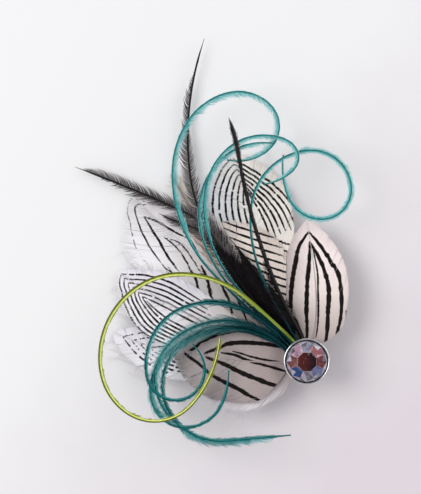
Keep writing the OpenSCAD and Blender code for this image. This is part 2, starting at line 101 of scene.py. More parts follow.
# name: length, seat angle, layer, level, line of (share of the length, heading)
STEMS = {
    "feather_right": (46, 60, 1, 2, [(0, 65), (0.2, 50), (0.5, 40), (1, 35)]),
    "feather_top": (74, 30, 0, 1, [(0, 10), (0.2, 25), (0.6, 30), (1, 25)]),
    "feather_centre": (54, 16, 0, 3, [(0, 0), (0.2, 12), (0.5, 16), (1, 12)]),
    "feather_upper_left": (82, -10, 0, 2, [(0, 4), (0.15, 2), (0.5, -4), (1, 0)]),
    "feather_left": (70, -24, 0, 3, [(0, -15), (0.15, -30), (0.5, -20), (1, -10)]),
    "feather_lower_left": (66, -38, 0, 0, [(0, -30), (0.15, -45), (0.6, -40), (1, -20)]),
    "feather_front": (44, -54, 1, 5, [(0, -40), (0.2, -45), (0.5, -35), (1, -35)]),
    "feather_under": (34, -68, 0, 1, [(0, -70), (0.2, -70), (0.6, -60), (1, -40)]),
    "feather_tan": (79, 3, 0, 0, [(0, 5), (0.15, 5), (0.5, 10), (1, 15)]),
    "spike_left": (108, -6, 1, 5, [(0, 5), (0.1, 10), (0.25, 10), (0.4, 20), (0.5, -5), (0.6, -20),
                                   (1, -25)]),
    "spike_short": (72, -18, 1, 6, [(0, 2), (0.15, 12), (0.5, 10), (0.7, 5), (0.85, -30),
                                    (1, -15)]),
    "spike_top": (125, 18, 1, 7, [(0, 12), (0.1, 0), (0.2, 10), (0.35, 6), (0.5, 24), (0.6, 38),
                                  (1, 64)]),
    "black_lower": (53, 6, 1, 8, [(0, 10), (0.2, 0), (0.4, 5), (0.7, 12), (1, 5)]),
    "black_upper": (49, 30, 1, 9, [(0, 10), (0.2, 15), (0.5, 15), (1, 0)]),
    "spear": (87, 44, 2, 3, [(0, 22), (0.1, 16), (0.3, 22), (0.6, 30), (0.85, 36), (1, 24)]),
    "curl_long": (118, -14, 2, 0, [(0, -5), (0.05, -10), (0.25, -50), (0.45, -110), (0.6, -165),
                                   (0.8, -230), (1, -230)]),
    "curl_high": (168, -2, 2, 0, [(0, 0), (0.05, -5), (0.25, 2), (0.4, 30), (0.5, 50), (0.6, 80),
                                  (0.7, 120), (0.8, 180), (0.9, 270), (1, 330)]),
    "curl_twin": (104, 10, 2, 1, [(0, -5), (0.05, 0), (0.25, -5), (0.5, 25), (0.65, 55), (0.8, 90),
                                  (1, 145)]),
    "curl_right": (156, 22, 2, 0, [(0, 15), (0.1, 14), (0.2, 24), (0.35, 50), (0.45, 90),
                                   (0.55, 130), (0.7, 225), (0.8, 312), (0.9, 382), (1, 415)]),
    "curl_hook": (114, -26, 3, 1, [(0, -5), (0.05, -5), (0.2, -40), (0.45, -90), (0.6, -146),
                                   (0.75, -226), (0.9, -295), (1, -315)]),
    "curl_inner": (84, -15, 3, 2, [(0, -5), (0.1, -5), (0.25, -30), (0.6, -90), (0.8, -145),
                                   (1, -190)]),
    "curl_small": (118, -4, 3, 3, [(0, -5), (0.05, 5), (0.2, -18), (0.4, -68), (0.5, -102),
                                   (0.65, -145), (0.8, -245), (0.9, -310), (1, -365)]),
    "curl_middle": (133, 7, 3, 2, [(0, 5), (0.05, 0), (0.2, 0), (0.4, 28), (0.55, 62), (0.65, 95),
                                   (0.75, 135), (0.8, 150), (0.85, 190), (0.9, 265), (1, 310)]),
    "curl_lime": (172, 20, 3, 4, [(0, 4), (0.05, -2), (0.15, -4), (0.3, -44), (0.4, -80),
                                  (0.6, -145), (0.7, -190), (0.85, -275), (1, -310)]),
}


def ahead(heading):
    a = np.radians(heading)
    return np.stack([np.sin(a), np.cos(a)], -1)


def aside(heading):
    a = np.radians(heading)
    return np.stack([np.cos(a), -np.sin(a)], -1)


def ramp(x, start, stop):
    t = np.clip((x - start) / (stop - start), 0, 1)
    return t * t * (3 - 2 * t)


class Stem:
    """The line that a quill, stem or feather follows, with its height over the clip."""

    def __init__(self, name):
        self.length, seat, layer, level, line = STEMS[name]
        self.shares = [point[0] for point in line]
        self.turns = [point[1] for point in line]
        self.curled = name.startswith("curl") or name == "spear"
        self.fall = RIGHT_CURL_FALL if name == "curl_right" else 0.0
        pitch = CURL_STEP if self.curled else RIB_STEP
        count = math.ceil(self.length / pitch)
        self.step = self.length / count
        marks = [BUTT_R * ahead(seat)]
        for i in range(count):
            marks.append(marks[-1] + self.step * ahead(self.heading((i + 0.5) * self.step)))
        self.marks = np.array(marks)
        self.seat = SEAT_0 + layer * LAYER_PITCH
        self.level = level

    def heading(self, s):
        return sum(np.interp((s + d) / self.length, self.shares, self.turns)
                   for d in (-EASE, 0, EASE)) / 3

    def plan(self, s, y=0.0):
        """Plan places at the distances s along the line and y to its right."""
        s = np.asarray(s, float)
        i = np.clip(np.floor(s / self.step), 0, len(self.marks) - 2).astype(int)
        u = np.clip(s / self.step - i, 0, 1)[..., None]
        a, b = self.marks[i], self.marks[i + 1]
        ta = self.step * ahead(self.heading(i * self.step))
        tb = self.step * ahead(self.heading((i + 1) * self.step))
        place = ((2 * u ** 3 - 3 * u ** 2 + 1) * a + (u ** 3 - 2 * u ** 2 + u) * ta
                 + (3 * u ** 2 - 2 * u ** 3) * b + (u ** 3 - u ** 2) * tb)
        heading = self.heading(s)
        over = np.where(s > self.length, s - self.length, 0)[..., None]
        return place + over * ahead(heading) + np.asarray(y)[..., None] * aside(heading)

    def height(self, plan, s):
        r = np.linalg.norm(plan, axis=-1)
        if self.curled:
            return (self.seat + (CURL_BASE - self.seat) * ramp(r, CLIMB_FROM, CLIMB_TO)
                    + self.level * CURL_PITCH * ramp(r, CLIMB_FROM, SPREAD_TO)
                    - self.fall * np.clip(s / self.length, 0, 1))
        own = SEAT_0 + self.level * FAN_PITCH
        return (self.seat + (own - self.seat) * ramp(r, CLIMB_FROM, CLIMB_TO)
                - FAN_FALL * ramp(r, FALL_FROM, FALL_TO))

    def place(self, s, y=0.0, rise=0.0):
        """Places in millimetres from the hub, with heights."""
        plan = self.plan(s, y)
        return np.concatenate([plan, (self.height(plan, s) + rise)[..., None]], -1)


# ---------------------------------------------------------------- meshes


class Build:
    """Gathers rings of points into one mesh, with values on its points."""

    def __init__(self, *values):
        self.points, self.quads, self.caps, self.count = [], [], [], 0
        self.values = {name: [] for name in values}

    def tubes(self, rings, **values):
        """rings is (tube, station, point round, xyz); every tube is closed at both ends."""
        n, k, m, _ = rings.shape
        base = self.count + np.arange(n)[:, None, None] * (k * m)
        i = np.arange(k - 1)[None, :, None] * m
        j = np.arange(m)[None, None, :]
        a, b = base + i + j, base + i + (j + 1) % m
        self.quads.append(np.stack([a, b, b + m, a + m], -1).reshape(-1, 4))
        first = base[:, 0, :] + np.arange(m)[::-1][None, :]
        last = base[:, 0, :] + (k - 1) * m + np.arange(m)[None, :]
        self.caps.extend([first, last])
        self.points.append(rings.reshape(-1, 3))
        for name in self.values:
            given = np.asarray(values.get(name, 0.0), float)
            while given.ndim < 3:
                given = given[..., None]
            self.values[name].append(np.broadcast_to(given, (n, k, m)).reshape(-1))
        self.count += n * k * m

    def finish(self, name, material, body="root", replaces=(), smooth=True):
        mesh = bpy.data.meshes.new(name)
        points = np.concatenate(self.points)
        points[:, :2] += HUB
        faces = self.quads + self.caps
        sizes = np.concatenate([np.full(len(f), f.shape[1]) for f in faces])
        corners = np.concatenate([f.reshape(-1) for f in faces])
        mesh.vertices.add(len(points))
        mesh.vertices.foreach_set("co", (points * MM).astype(np.float32).ravel())
        mesh.loops.add(len(corners))
        mesh.loops.foreach_set("vertex_index", corners.astype(np.int32))
        mesh.polygons.add(len(sizes))
        starts = np.concatenate([[0], np.cumsum(sizes)[:-1]])
        mesh.polygons.foreach_set("loop_start", starts.astype(np.int32))
        mesh.polygons.foreach_set("use_smooth", np.full(len(sizes), smooth))
        mesh.update(calc_edges=True)
        mesh.validate()
        for key, parts in self.values.items():
            layer = mesh.attributes.new(key, "FLOAT", "POINT")
            layer.data.foreach_set("value", np.concatenate(parts).astype(np.float32))
        obj = bpy.data.objects.new(name, mesh)
        bpy.context.scene.collection.objects.link(obj)
        mesh.materials.append(material)
        dress(obj, body, replaces)
        return obj


def dress(obj, body="root", replaces=()):
    if body:
        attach(obj, body)
    if replaces:
        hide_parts(*replaces)


def rings_round(centres, across, up, half_width, half_height, sides):
    """Elliptic rings round the centres (tube, station, xyz)."""
    a = 2 * math.pi * np.arange(sides) / sides
    wide = half_width[..., None, None] * np.cos(a)[:, None] * across[..., None, :]
    high = half_height[..., None, None] * np.sin(a)[:, None] * up[..., None, :]
    return centres[..., None, :] + wide + high


TINY = 1e-9


def side_and_up(paths):
    """Level side directions and the directions square to both, along paths (..., k, 3)."""
    way = np.gradient(paths, axis=-2)
    way /= np.linalg.norm(way, axis=-1, keepdims=True) + TINY
    across = np.stack([way[..., 1], -way[..., 0], np.zeros_like(way[..., 0])], -1)
    across /= np.linalg.norm(across, axis=-1, keepdims=True) + TINY
    return across, np.cross(across, way)


def strands(build, paths, width, thickness, **values):
    """Flat three-sided strands along paths (strand, station, xyz)."""
    across, up = side_and_up(paths)
    w = (width / 2)[..., None]
    t = np.broadcast_to(np.asarray(thickness, float), width.shape)[..., None]
    rings = np.stack([paths + w * across, paths + t * up, paths - w * across], -2)
    build.tubes(rings, **values)


# ---------------------------------------------------------------- materials

SOCKETS = {"RGBA": "NodeSocketColor", "VALUE": "NodeSocketFloat", "VECTOR": "NodeSocketVector"}
FINE_BUMP = 0.0001
COARSE_BUMP = 0.0003
SCRATCH_BUMP = 0.00004
BRUSH = (900.0, 40.0, 900.0)
LINE_GRAIN = 0.12
INK = (0.007, 0.004, 0.004)
# Painted shade: the darker colour that vanes and white quills go over to near the stone.
PAINTED_HUB_SHADE = (0.36, 0.29, 0.28)
# The painted shade that the teal stems and fringes go over to near the stone.
NAVY_ROOT_SHADE = (0.0, 0.022, 0.03)


class Graph:
    """Short calls that add and join shader nodes in one tree."""

    def __init__(self, tree):
        self.tree = tree
        self.nodes = tree.nodes

    def put(self, value, socket):
        """Joins an output to the socket, or sets it to a number, a vector or a colour."""
        if isinstance(value, bpy.types.NodeSocket):
            self.tree.links.new(value, socket)
        elif socket.type == "RGBA":
            socket.default_value = (*value, 1)
        else:
            socket.default_value = value

    def fill(self, node, values):
        for name, value in values.items():
            self.put(value, node.inputs[name.replace("_", " ")])
        return node.outputs

    def new(self, kind, **values):
        return self.fill(self.nodes.new("ShaderNode" + kind), values)

    def use(self, effect, **values):
        """Places a shared effect with its own values."""
        node = self.nodes.new("ShaderNodeGroup")
        node.node_tree = effect
        return self.fill(node, values)

    def math(self, operation, a, b=0.0, clamp=False):
        node = self.nodes.new("ShaderNodeMath")
        node.operation = operation
        node.use_clamp = clamp
        self.put(a, node.inputs[0])
        self.put(b, node.inputs[1])
        return node.outputs[0]

    def add(self, a, b, clamp=False):
        return self.math("ADD", a, b, clamp)

    def sub(self, a, b):
        return self.math("SUBTRACT", a, b)

    def mul(self, a, b, clamp=False):
        return self.math("MULTIPLY", a, b, clamp)

    def span(self, value, low, high, to_low=0.0, to_high=1.0):
        return self.new("MapRange", Value=value, From_Min=low, From_Max=high, To_Min=to_low,
                        To_Max=to_high)["Result"]

    def mix(self, share, a, b):
        node = self.nodes.new("ShaderNodeMix")
        node.data_type = "RGBA"
        self.put(share, node.inputs[0])
        self.put(a, node.inputs[6])
        self.put(b, node.inputs[7])
        return node.outputs[2]

    def place(self):
        return self.new("TexCoord")["Object"]

    def noise(self, scale, detail, vector=None):
        return self.new("TexNoise", Scale=scale, Detail=detail,
                        Vector=vector or self.place())["Fac"]

    def vector(self, x, y):
        return self.new("CombineXYZ", X=x, Y=y)["Vector"]

    def attribute(self, name, output="Fac"):
        node = self.nodes.new("ShaderNodeAttribute")
        node.attribute_name = name
        return node.outputs[output]

    def bump(self, height, strength, distance):
        return self.new("Bump", Height=height, Strength=strength, Distance=distance)["Normal"]


def effect(name, colours=(), numbers=()):
    """Makes a shared node group of the function under it, which gets the graph and the
    inputs, and returns the outputs by their names."""
    def build_with(make):
        tree = bpy.data.node_groups.new(name, "ShaderNodeTree")
        for kind, sockets in (("RGBA", colours), ("VALUE", numbers)):
            for socket in sockets:
                tree.interface.new_socket(socket, in_out="INPUT", socket_type=SOCKETS[kind])
        g = Graph(tree)
        results = make(g, tree.nodes.new("NodeGroupInput").outputs)
        for socket, value in results.items():
            tree.interface.new_socket(socket, in_out="OUTPUT", socket_type=SOCKETS[value.type])
        g.fill(tree.nodes.new("NodeGroupOutput"), results)
        return tree
    return build_with


def new_material(name, roughness=0.5, metallic=0.0, **extra):
    """A material with its Principled shader and the graph round it."""
    material = bpy.data.materials.new(name)
    material.use_nodes = True
    shader = material.node_tree.nodes["Principled BSDF"]
    g = Graph(material.node_tree)
    g.fill(shader, dict(extra, Roughness=roughness, Metallic=metallic))
    return material, g, shader


def finish_with(g, shader, looks, root=None):
    """Joins an effect's outputs to the shader's sockets of the same names."""
    for look in looks:
        g.put(look, shader.inputs[look.name])
    # A root colour adds painted shade towards the stone.
    if root:
        shaded = g.use(painted_root_shade, Colour=looks["Base Color"], Root=root)["Colour"]
        g.put(shaded, shader.inputs["Base Color"])


@effect("Root shade", colours=("Colour", "Root"))
def painted_root_shade(g, given):
    """Painted shade: the colour going over to the darker root colour where the stem nears the
    stone.
    """
    near = g.span(g.attribute("along"), 20.0, 56.0, 0.88, 0.0)
    return {"Colour": g.mix(near, given["Colour"], given["Root"])}


@effect("Mottle", colours=("Base", "Patch"), numbers=("Scale", "Detail", "From", "To", "Most"))
def mottle(g, given):
    """Cloudy patches of one colour over another."""
    cloud = g.noise(given["Scale"], given["Detail"])
    share = g.span(cloud, given["From"], given["To"], 0.0, given["Most"])
    return {"Colour": g.mix(share, given["Base"], given["Patch"]), "Cloud": cloud}


@effect("Striped vane", colours=("Light", "Shade", "Butt", "Left"),
        numbers=("Left Share", "Left To", "Butt From", "Butt To"))
def striped_vane(g, given):
    """Pale barbs crossed by dark lines. The attribute 'ink' says how deep inside a line a
    place lies."""
    grain = g.mul(g.sub(g.noise(2600.0, 2.0), 0.5), LINE_GRAIN)
    ink = g.add(g.attribute("ink"), grain)
    mask = g.add(g.math("DIVIDE", ink, LINE_GRAIN), 0.5, clamp=True)
    tone, across, share = g.attribute("tone"), g.attribute("across"), g.attribute("share")
    cloud = g.noise(150.0, 3.0)
    depth = g.add(g.mul(tone, 0.25), g.mul(g.attribute("edge"), 0.3))
    pale = g.mix(g.span(g.add(depth, cloud), 0.45, 1.05), given["Light"], given["Shade"])
    # Goes over to the Left colour on the left of the shaft; the rosy vane's is painted shade, the
    # half shaded vane's painted light.
    left = g.span(across, -9.0, given["Left To"], given["Left Share"], 0.0)
    pale = g.mix(left, pale, given["Left"])
    butt = g.span(g.add(share, g.mul(cloud, 0.2)), given["Butt From"], given["Butt To"], 0.75, 0.0)
    pale = g.mix(butt, pale, given["Butt"])
    # Painted shade over the vane near its butt.
    pale = g.mix(g.span(share, 0.1, 0.42, 0.7, 0.0), pale, PAINTED_HUB_SHADE)
    fibre = g.noise(1.0, 2.0, g.vector(g.mul(across, 6.0), g.mul(tone, 40.0)))
    return {"Base Color": g.mix(mask, pale, INK), "Roughness": g.span(mask, 0.0, 1.0, 0.7, 0.5),
            "Normal": g.bump(fibre, 0.3, FINE_BUMP)}


@effect("Loose barb", colours=("Dark", "Light"))
def loose_barb(g, given):
    """Barbs whose colour changes from barb to barb and from root to tip."""
    blend = g.add(g.mul(g.attribute("reach"), 0.6), g.mul(g.attribute("tone"), 0.5), clamp=True)
    cloud = g.noise(500.0, 2.0)
    share = g.mul(blend, g.span(cloud, 0.3, 0.7, 0.6, 1.2), clamp=True)
    return {"Base Color": g.mix(share, given["Dark"], given["Light"]),
            "Normal": g.bump(cloud, 0.3, FINE_BUMP)}


@effect("Stripped quill", colours=("Dark", "Bright", "Streak"), numbers=("Glossy", "Dull"))
def stripped_quill(g, given):
    """Painted shade on the outer flank and along the inner edge, a bright crown and a painted
    highlight line inside it, all a little streaked.
    """
    along, around = g.attribute("along"), g.attribute("around")
    streaks = g.noise(1.0, 4.0, g.vector(g.mul(along, 0.9), g.mul(around, 3.0)))
    flank = g.add(around, g.mul(g.sub(streaks, 0.5), 0.7))
    # Painted shade on the outer flank.
    body = g.mix(g.span(flank, -0.15, 0.35), given["Bright"], given["Dark"])
    # A painted highlight line along the inner side of the crown.
    line = g.math("ABSOLUTE", g.add(flank, 0.4))
    body = g.mix(g.span(line, 0.08, 0.3, 0.75, 0.0), body, given["Streak"])
    # Painted shade along the inner edge.
    body = g.mix(g.span(flank, -0.7, -0.95, 0.0, 0.8), body, given["Dark"])
    return {"Base Color": body,
            "Roughness": g.span(streaks, 0.3, 0.7, given["Glossy"], given["Dull"]),
            "Normal": g.bump(streaks, 0.4, FINE_BUMP)}


@effect("Drawn lines", numbers=("Cloud", "Glossy", "Dull", "Scratch"))
def drawn_lines(g, given):
    """Fine lines from drawing the metal, and duller patches of handling."""
    lines = g.noise(1.0, 3.0, g.new("Mapping", Vector=g.place(), Scale=BRUSH)["Vector"])
    rough = g.span(given["Cloud"], 0.35, 0.75, given["Glossy"], given["Dull"])
    return {"Roughness": g.add(rough, g.mul(g.sub(lines, 0.5), 0.15)),
            "Normal": g.bump(lines, given["Scratch"], SCRATCH_BUMP)}


def vane_material(name, light, shade, butt=(0.84, 0.74, 0.68), left=None, left_to=3.0,
                  butt_reach=(0.45, 0.72)):
    """One feather's vane: its colours at the butt and on the left, and how far they reach."""
    material, g, shader = new_material(name, roughness=0.7, Sheen_Weight=0.03,
                                       Sheen_Roughness=0.5, Specular_IOR_Level=0.08)
    finish_with(g, shader, g.use(
        striped_vane, Light=light, Shade=shade, Butt=butt, Left=left or light,
        Left_Share=0.75 if left else 0.0, Left_To=left_to, Butt_From=butt_reach[0],
        Butt_To=butt_reach[1]))
    return material


def barb_material(name, dark, light, roughness=0.6, root=None):
    material, g, shader = new_material(name, roughness=roughness, Specular_IOR_Level=0.1)
    finish_with(g, shader, g.use(loose_barb, Dark=dark, Light=light), root)
    return material


def quill_material(name, dark, bright, highlight, roughness=0.28, gloss=0.5, root=None):
    material, g, shader = new_material(name, roughness=roughness, Coat_Weight=0.2 * gloss,
                                       Coat_Roughness=0.15, Specular_IOR_Level=0.7 * gloss)
    finish_with(g, shader, g.use(stripped_quill, Dark=dark, Bright=bright, Streak=highlight,
                                 Glossy=roughness - 0.06, Dull=roughness + 0.12), root)
    return material


def metal_material(name, colour, roughness, scratch=0.25):
    material, g, shader = new_material(name, roughness=roughness, metallic=1.0)
    worn = tuple(share * 0.78 for share in colour)
    patches = g.use(mottle, Base=colour, Patch=worn, Scale=160.0, Detail=3.0, From=0.45, To=0.75,
                    Most=1.0)
    g.put(patches["Colour"], shader.inputs["Base Color"])
    finish_with(g, shader, g.use(drawn_lines, Cloud=patches["Cloud"], Glossy=roughness * 0.7,
                                 Dull=roughness * 1.6, Scratch=scratch))
    return material


def felt_material():
    material, g, shader = new_material("Black felt", roughness=0.95, Sheen_Weight=0.5,
                                       Sheen_Roughness=0.6, Specular_IOR_Level=0.1)
    fibres = g.use(mottle, Base=(0.012, 0.012, 0.014), Patch=(0.07, 0.07, 0.075), Scale=2600.0,
                   Detail=4.0, From=0.35, To=0.7, Most=1.0)
    tufts = g.noise(700.0, 2.0)
    g.put(fibres["Colour"], shader.inputs["Base Color"])
    g.put(g.bump(g.add(fibres["Cloud"], tufts), 0.8, COARSE_BUMP), shader.inputs["Normal"])
    return material


def glue_material():
    material, g, shader = new_material("Set glue", roughness=0.35)
    clouds = g.use(mottle, Base=(0.80, 0.76, 0.62), Patch=(0.90, 0.88, 0.80), Scale=400.0,
                   Detail=3.0, From=0.0, To=1.0, Most=1.0)
    g.put(clouds["Colour"], shader.inputs["Base Color"])
    g.put(g.bump(clouds["Cloud"], 0.4, COARSE_BUMP), shader.inputs["Normal"])
    return material


# Its left colour is painted shade, where the black feathers shade this vane.
rosy_vane = vane_material("Rosy white vane", (0.99, 0.89, 0.87), (0.91, 0.78, 0.76),
                          left=(0.50, 0.42, 0.41), left_to=0.0)
cream_vane = vane_material("Cream white vane", (1.0, 0.96, 0.90), (0.88, 0.81, 0.74),
                           left=(0.70, 0.73, 0.78))
warm_vane = vane_material("Warm white vane", (0.91, 0.81, 0.74), (0.76, 0.66, 0.59),
                          left=(0.74, 0.74, 0.76))
cool_vane = vane_material("Cool white vane", (0.94, 0.91, 0.96), (0.76, 0.72, 0.78),
                          left=(1.0, 0.98, 1.0))
# Painted shade over the right half and over the butt, where the curls shade it, and painted light
# on the left.
half_shade_vane = vane_material("Half shaded white vane", (0.80, 0.76, 0.78), (0.64, 0.60, 0.61),
                          butt=(0.36, 0.33, 0.30), left=(1.0, 0.98, 1.0), butt_reach=(0.5, 0.85))
# A rosy vane darkened all over as painted shade, with a greyer colour of its own near the butt.
shaded_rosy_vane = vane_material("Shaded rosy vane", (0.47, 0.415, 0.415), (0.31, 0.265, 0.265),
                         butt=(0.46, 0.385, 0.37))
grey_vane = vane_material("Greyed white vane", (0.90, 0.85, 0.86), (0.66, 0.60, 0.62),
                          butt=(0.70, 0.66, 0.68))
down = barb_material("White down", (0.72, 0.69, 0.74), (0.90, 0.88, 0.91))
tan_barbs = barb_material("Tan barbs", (0.78, 0.69, 0.60), (0.97, 0.95, 0.93))
brown_barbs = barb_material("Brown flecked barbs", (0.09, 0.045, 0.022), (0.62, 0.42, 0.29))
grey_barbs = barb_material("Grey brown barbs", (0.014, 0.012, 0.013), (0.29, 0.255, 0.26))
black_barbs = barb_material("Black barbs", (0.001, 0.001, 0.001), (0.024, 0.018, 0.022), 0.8)
teal_fringe = barb_material("Teal fringe", (0.01, 0.42, 0.43), (0.50, 0.96, 0.95), 0.5, NAVY_ROOT_SHADE)
deep_fringe = barb_material("Deep teal fringe", (0.0, 0.055, 0.058), (0.03, 0.48, 0.49), 0.5, NAVY_ROOT_SHADE)
pale_fringe = barb_material("Pale teal barbs", (0.05, 0.40, 0.40), (0.50, 0.88, 0.88), 0.5, NAVY_ROOT_SHADE)
lime_stubs = barb_material("Lime stubs", (0.12, 0.15, 0.003), (0.66, 0.72, 0.16), 0.5)
# Bright barbs coloured as a painted highlight on the lime quill.
lime_highlight_barbs = barb_material("Lime highlight barbs", (0.80, 0.86, 0.20), (0.93, 0.96, 0.55), 0.4)
teal_quill = quill_material("Teal quill", (0.0, 0.045, 0.047), (0.0, 0.22, 0.225),
                            (0.14, 0.70, 0.69), gloss=0.12, root=NAVY_ROOT_SHADE)
deep_quill = quill_material("Deep teal quill", (0.0, 0.018, 0.02), (0.0, 0.13, 0.137),
                            (0.08, 0.52, 0.51), gloss=0.12, root=NAVY_ROOT_SHADE)
# The lime quill's root colour is painted shade near the stone.
lime_quill = quill_material("Lime quill", (0.08, 0.10, 0.003), (0.60, 0.68, 0.03),
                            (0.96, 0.99, 0.50), gloss=0.3, root=(0.20, 0.28, 0.025))
black_quill = quill_material("Black quill", (0.002, 0.002, 0.002), (0.010, 0.008, 0.008),
                             (0.04, 0.035, 0.035), roughness=0.5, gloss=0.2)
white_quill = quill_material("White quill", (0.42, 0.36, 0.35), (0.74, 0.67, 0.66),
                             (0.80, 0.76, 0.75), roughness=0.5, root=PAINTED_HUB_SHADE)
steel = metal_material("Plated strip steel", (0.72, 0.72, 0.74), 0.26)
spring_wire = metal_material("Spring wire", (0.50, 0.50, 0.52), 0.34)
silver = metal_material("Bright silver plate", (0.74, 0.74, 0.76), 0.1, scratch=0.1)
felt = felt_material()
glue = glue_material()

# ---------------------------------------------------------------- feathers

SEED = 7
LINE_STEP = 0.25  # between the places along a dark line
SLOPING_BROKEN = 0.05
CLUMP, CLUMP_PULL = (7, 22), 0.05  # fewest and most barbs in a clump, and how close they draw
rng = np.random.default_rng(SEED)


def fullness(t, widest, base):
    """Share of the full width at a share t of the vanes' length."""
    t = np.clip(t, 0, 1)
    near = base + (1 - base) * np.sin(np.pi / 2 * t / widest)
    far = np.cos(np.pi / 2 * (np.clip(t, widest, 1) - widest) / (1 - widest)) ** 0.6
    return np.where(t < widest, near, far)


def clumped(count):
    """Small shifts that draw neighbouring barbs together into clumps."""
    shifts = np.zeros(count)
    start = 0
    while start < count:
        size = int(rng.integers(*CLUMP))
        own = np.arange(start, min(start + size, count))
        shifts[own] = -(own - own.mean()) * CLUMP_PULL + rng.normal(0, 0.25)
        start += size
    return shifts


class Vane:
    """Plan of one feather's vane, as its solid has it."""

    def __init__(self, name, width, left_share=0.5, start=0.15, widest=0.4, base=(0.3, 0.3)):
        self.stem = Stem(name)
        self.width = {-1: width * left_share, 1: width * (1 - left_share)}
        self.start, self.widest = start, widest
        self.base = {-1: base[0], 1: base[1]}

    def reach(self, s, side):
        t = (s / self.stem.length - self.start) / (1 - self.start)
        return self.width[side] * fullness(t, self.widest, self.base[side]) * (t < 1)


def smooth_line(points):
    """Places along a smooth curve through the points."""
    p = np.array(points, float)
    p = np.concatenate([[2 * p[0] - p[1]], p, [2 * p[-1] - p[-2]]])
    drawn = []
    for a, b, c, d in zip(p, p[1:], p[2:], p[3:]):
        u = np.arange(0, 1, LINE_STEP / max(np.linalg.norm(c - b), LINE_STEP))[:, None]
        drawn.append((2 * b + (c - a) * u + (2 * a - 5 * b + 4 * c - d) * u ** 2
                      + (3 * b - a - 3 * c + d) * u ** 3) / 2)
    return np.concatenate(drawn)


def nested(count, apex, apex_step, middle, middle_step, left, right, width, reach, broken=0.15):
    """V lines one inside the other. The apex and the middle give the outermost apex. Left and
    right give its arms' spread, how much less each next one has, the length that an arm takes
    to open, and how pointed it is. The reach is how far back from its apex an arm runs."""
    lines = []
    for k in range(count):
        s0, y0 = apex - k * apex_step, middle + k * middle_step
        for side, (spread, less, over, bend) in ((-1, left), (1, right)):
            wide = spread - k * less
            if wide < 0.2:
                continue
            back = np.array([0.0, 0.04, 0.12, 0.25, 0.45, 0.7, 1.0])
            out = np.sin(np.pi / 2 * back ** bend) * wide
            run = over * (0.55 + 0.45 * wide / spread)
            points = [(s0 - run * b, y0 + side * o) for b, o in zip(back, out)]
            if reach > over:
                points.append((s0 - reach, y0 + side * wide * 0.9))
            lines.append((points, width, broken))
    return lines


def sloping(first, last, pitch, slope, left, right, width):
    """Lines that cross the vane at a slope, as many as stand a pitch apart along the shaft."""
    lines = []
    for s0 in np.arange(first, last, pitch):
        for side, out in ((-1, left), (1, right)):
            if out:
                points = [(s0 - slope * out * u ** 0.85, side * out * u)
                          for u in (0.03, 0.3, 0.6, 1.0)]
                lines.append((points, width, SLOPING_BROKEN))
    return lines


def ink_depth(lines, s, y):
    """How deep inside a dark line each place lies; below 0 is outside all lines."""
    best = np.full(s.shape, -1.0)
    for points, width, broken in lines:
        drawn = smooth_line(points)
        share = np.linspace(0, 1, len(drawn))
        knots = max(int(len(drawn) / 4), 3)
        waver = np.interp(share, np.linspace(0, 1, knots), rng.random(knots))
        half = width / 2 * (0.5 + 0.6 * np.sin(np.pi * share) ** 0.5) * (0.8 + 0.4 * waver)
        breaks = np.interp(share, np.linspace(0, 1, knots * 2), rng.random(knots * 2))
        half = np.where(breaks < broken, -1.0, half)
        near = np.hypot(s[..., None] - drawn[:, 0], y[..., None] - drawn[:, 1])
        best = np.maximum(best, (half - near).max(-1))
    return best


VANE_VALUES = ("across", "ink", "tone", "edge", "share")
COMB_PITCH = 0.2
COMB_BARB_W = 0.42
BARB_T = 0.05
COMB_LEAN = 1.15  # how far a barb at the butt runs forward, for each millimetre across
TIP_SWEEP = 0.8  # how much of that the edge itself gives towards the tip
BEND_AT = (0.28, 0.52)  # where a barb's bend pulls, as shares of its run and its reach
ARCH, UNEVEN = 0.12, 0.06  # how far barbs arch up, and how much their heights differ


def comb(build, vane, lines, stations, fray, ragged=0.9):
    """Combs a feather's barbs out from its shaft to the vane's edge."""
    stem = vane.stem
    first, last = vane.start * stem.length, stem.length
    for side in (-1, 1):
        count = int((last - first) / COMB_PITCH)
        t = (np.arange(count) + 0.5) / count
        s_edge = first + t * (last - first)
        reach = vane.reach(s_edge, side) * (1 + 0.02 * fray * rng.normal(size=count))
        sweep = TIP_SWEEP * (1 - t)
        s_tip = s_edge + sweep * reach
        root = np.maximum(s_edge - reach * (COMB_LEAN - sweep), first * 0.8 + 0.2 * t)
        shift = clumped(count) * fray
        q = np.linspace(0, 1, stations)[None, :]
        s0, s2 = root[:, None], (s_tip + shift)[:, None]
        y2 = reach[:, None]
        s1, y1 = s0 + BEND_AT[0] * (s2 - s0), BEND_AT[1] * y2
        s = (1 - q) ** 2 * s0 + 2 * q * (1 - q) * s1 + q ** 2 * s2
        y = side * (2 * q * (1 - q) * y1 + q ** 2 * y2)
        tone = rng.random(count)[:, None] + 0 * q
        knots = count // 7 + 2
        drift = np.interp(np.arange(count), np.linspace(0, count, knots), rng.random(knots))
        jag = (0.75 * drift + 0.25 * rng.random(count) - 0.5)[:, None]
        lift = (rng.random(count)[:, None] - 0.5) * UNEVEN + ARCH * np.sin(np.pi * q)
        ink = ink_depth(lines, s + ragged * jag, y) if lines else np.full(s.shape, -1.0)
        width = COMB_BARB_W * (1 - 0.35 * (1 - q)) * (1 - 0.72 * q ** 5) + 0 * s0
        strands(build, stem.place(s, y, lift), width, BARB_T, across=y, ink=ink, tone=tone,
                edge=q + 0 * s0, share=s / stem.length)


POINT_TAPER = 0.75


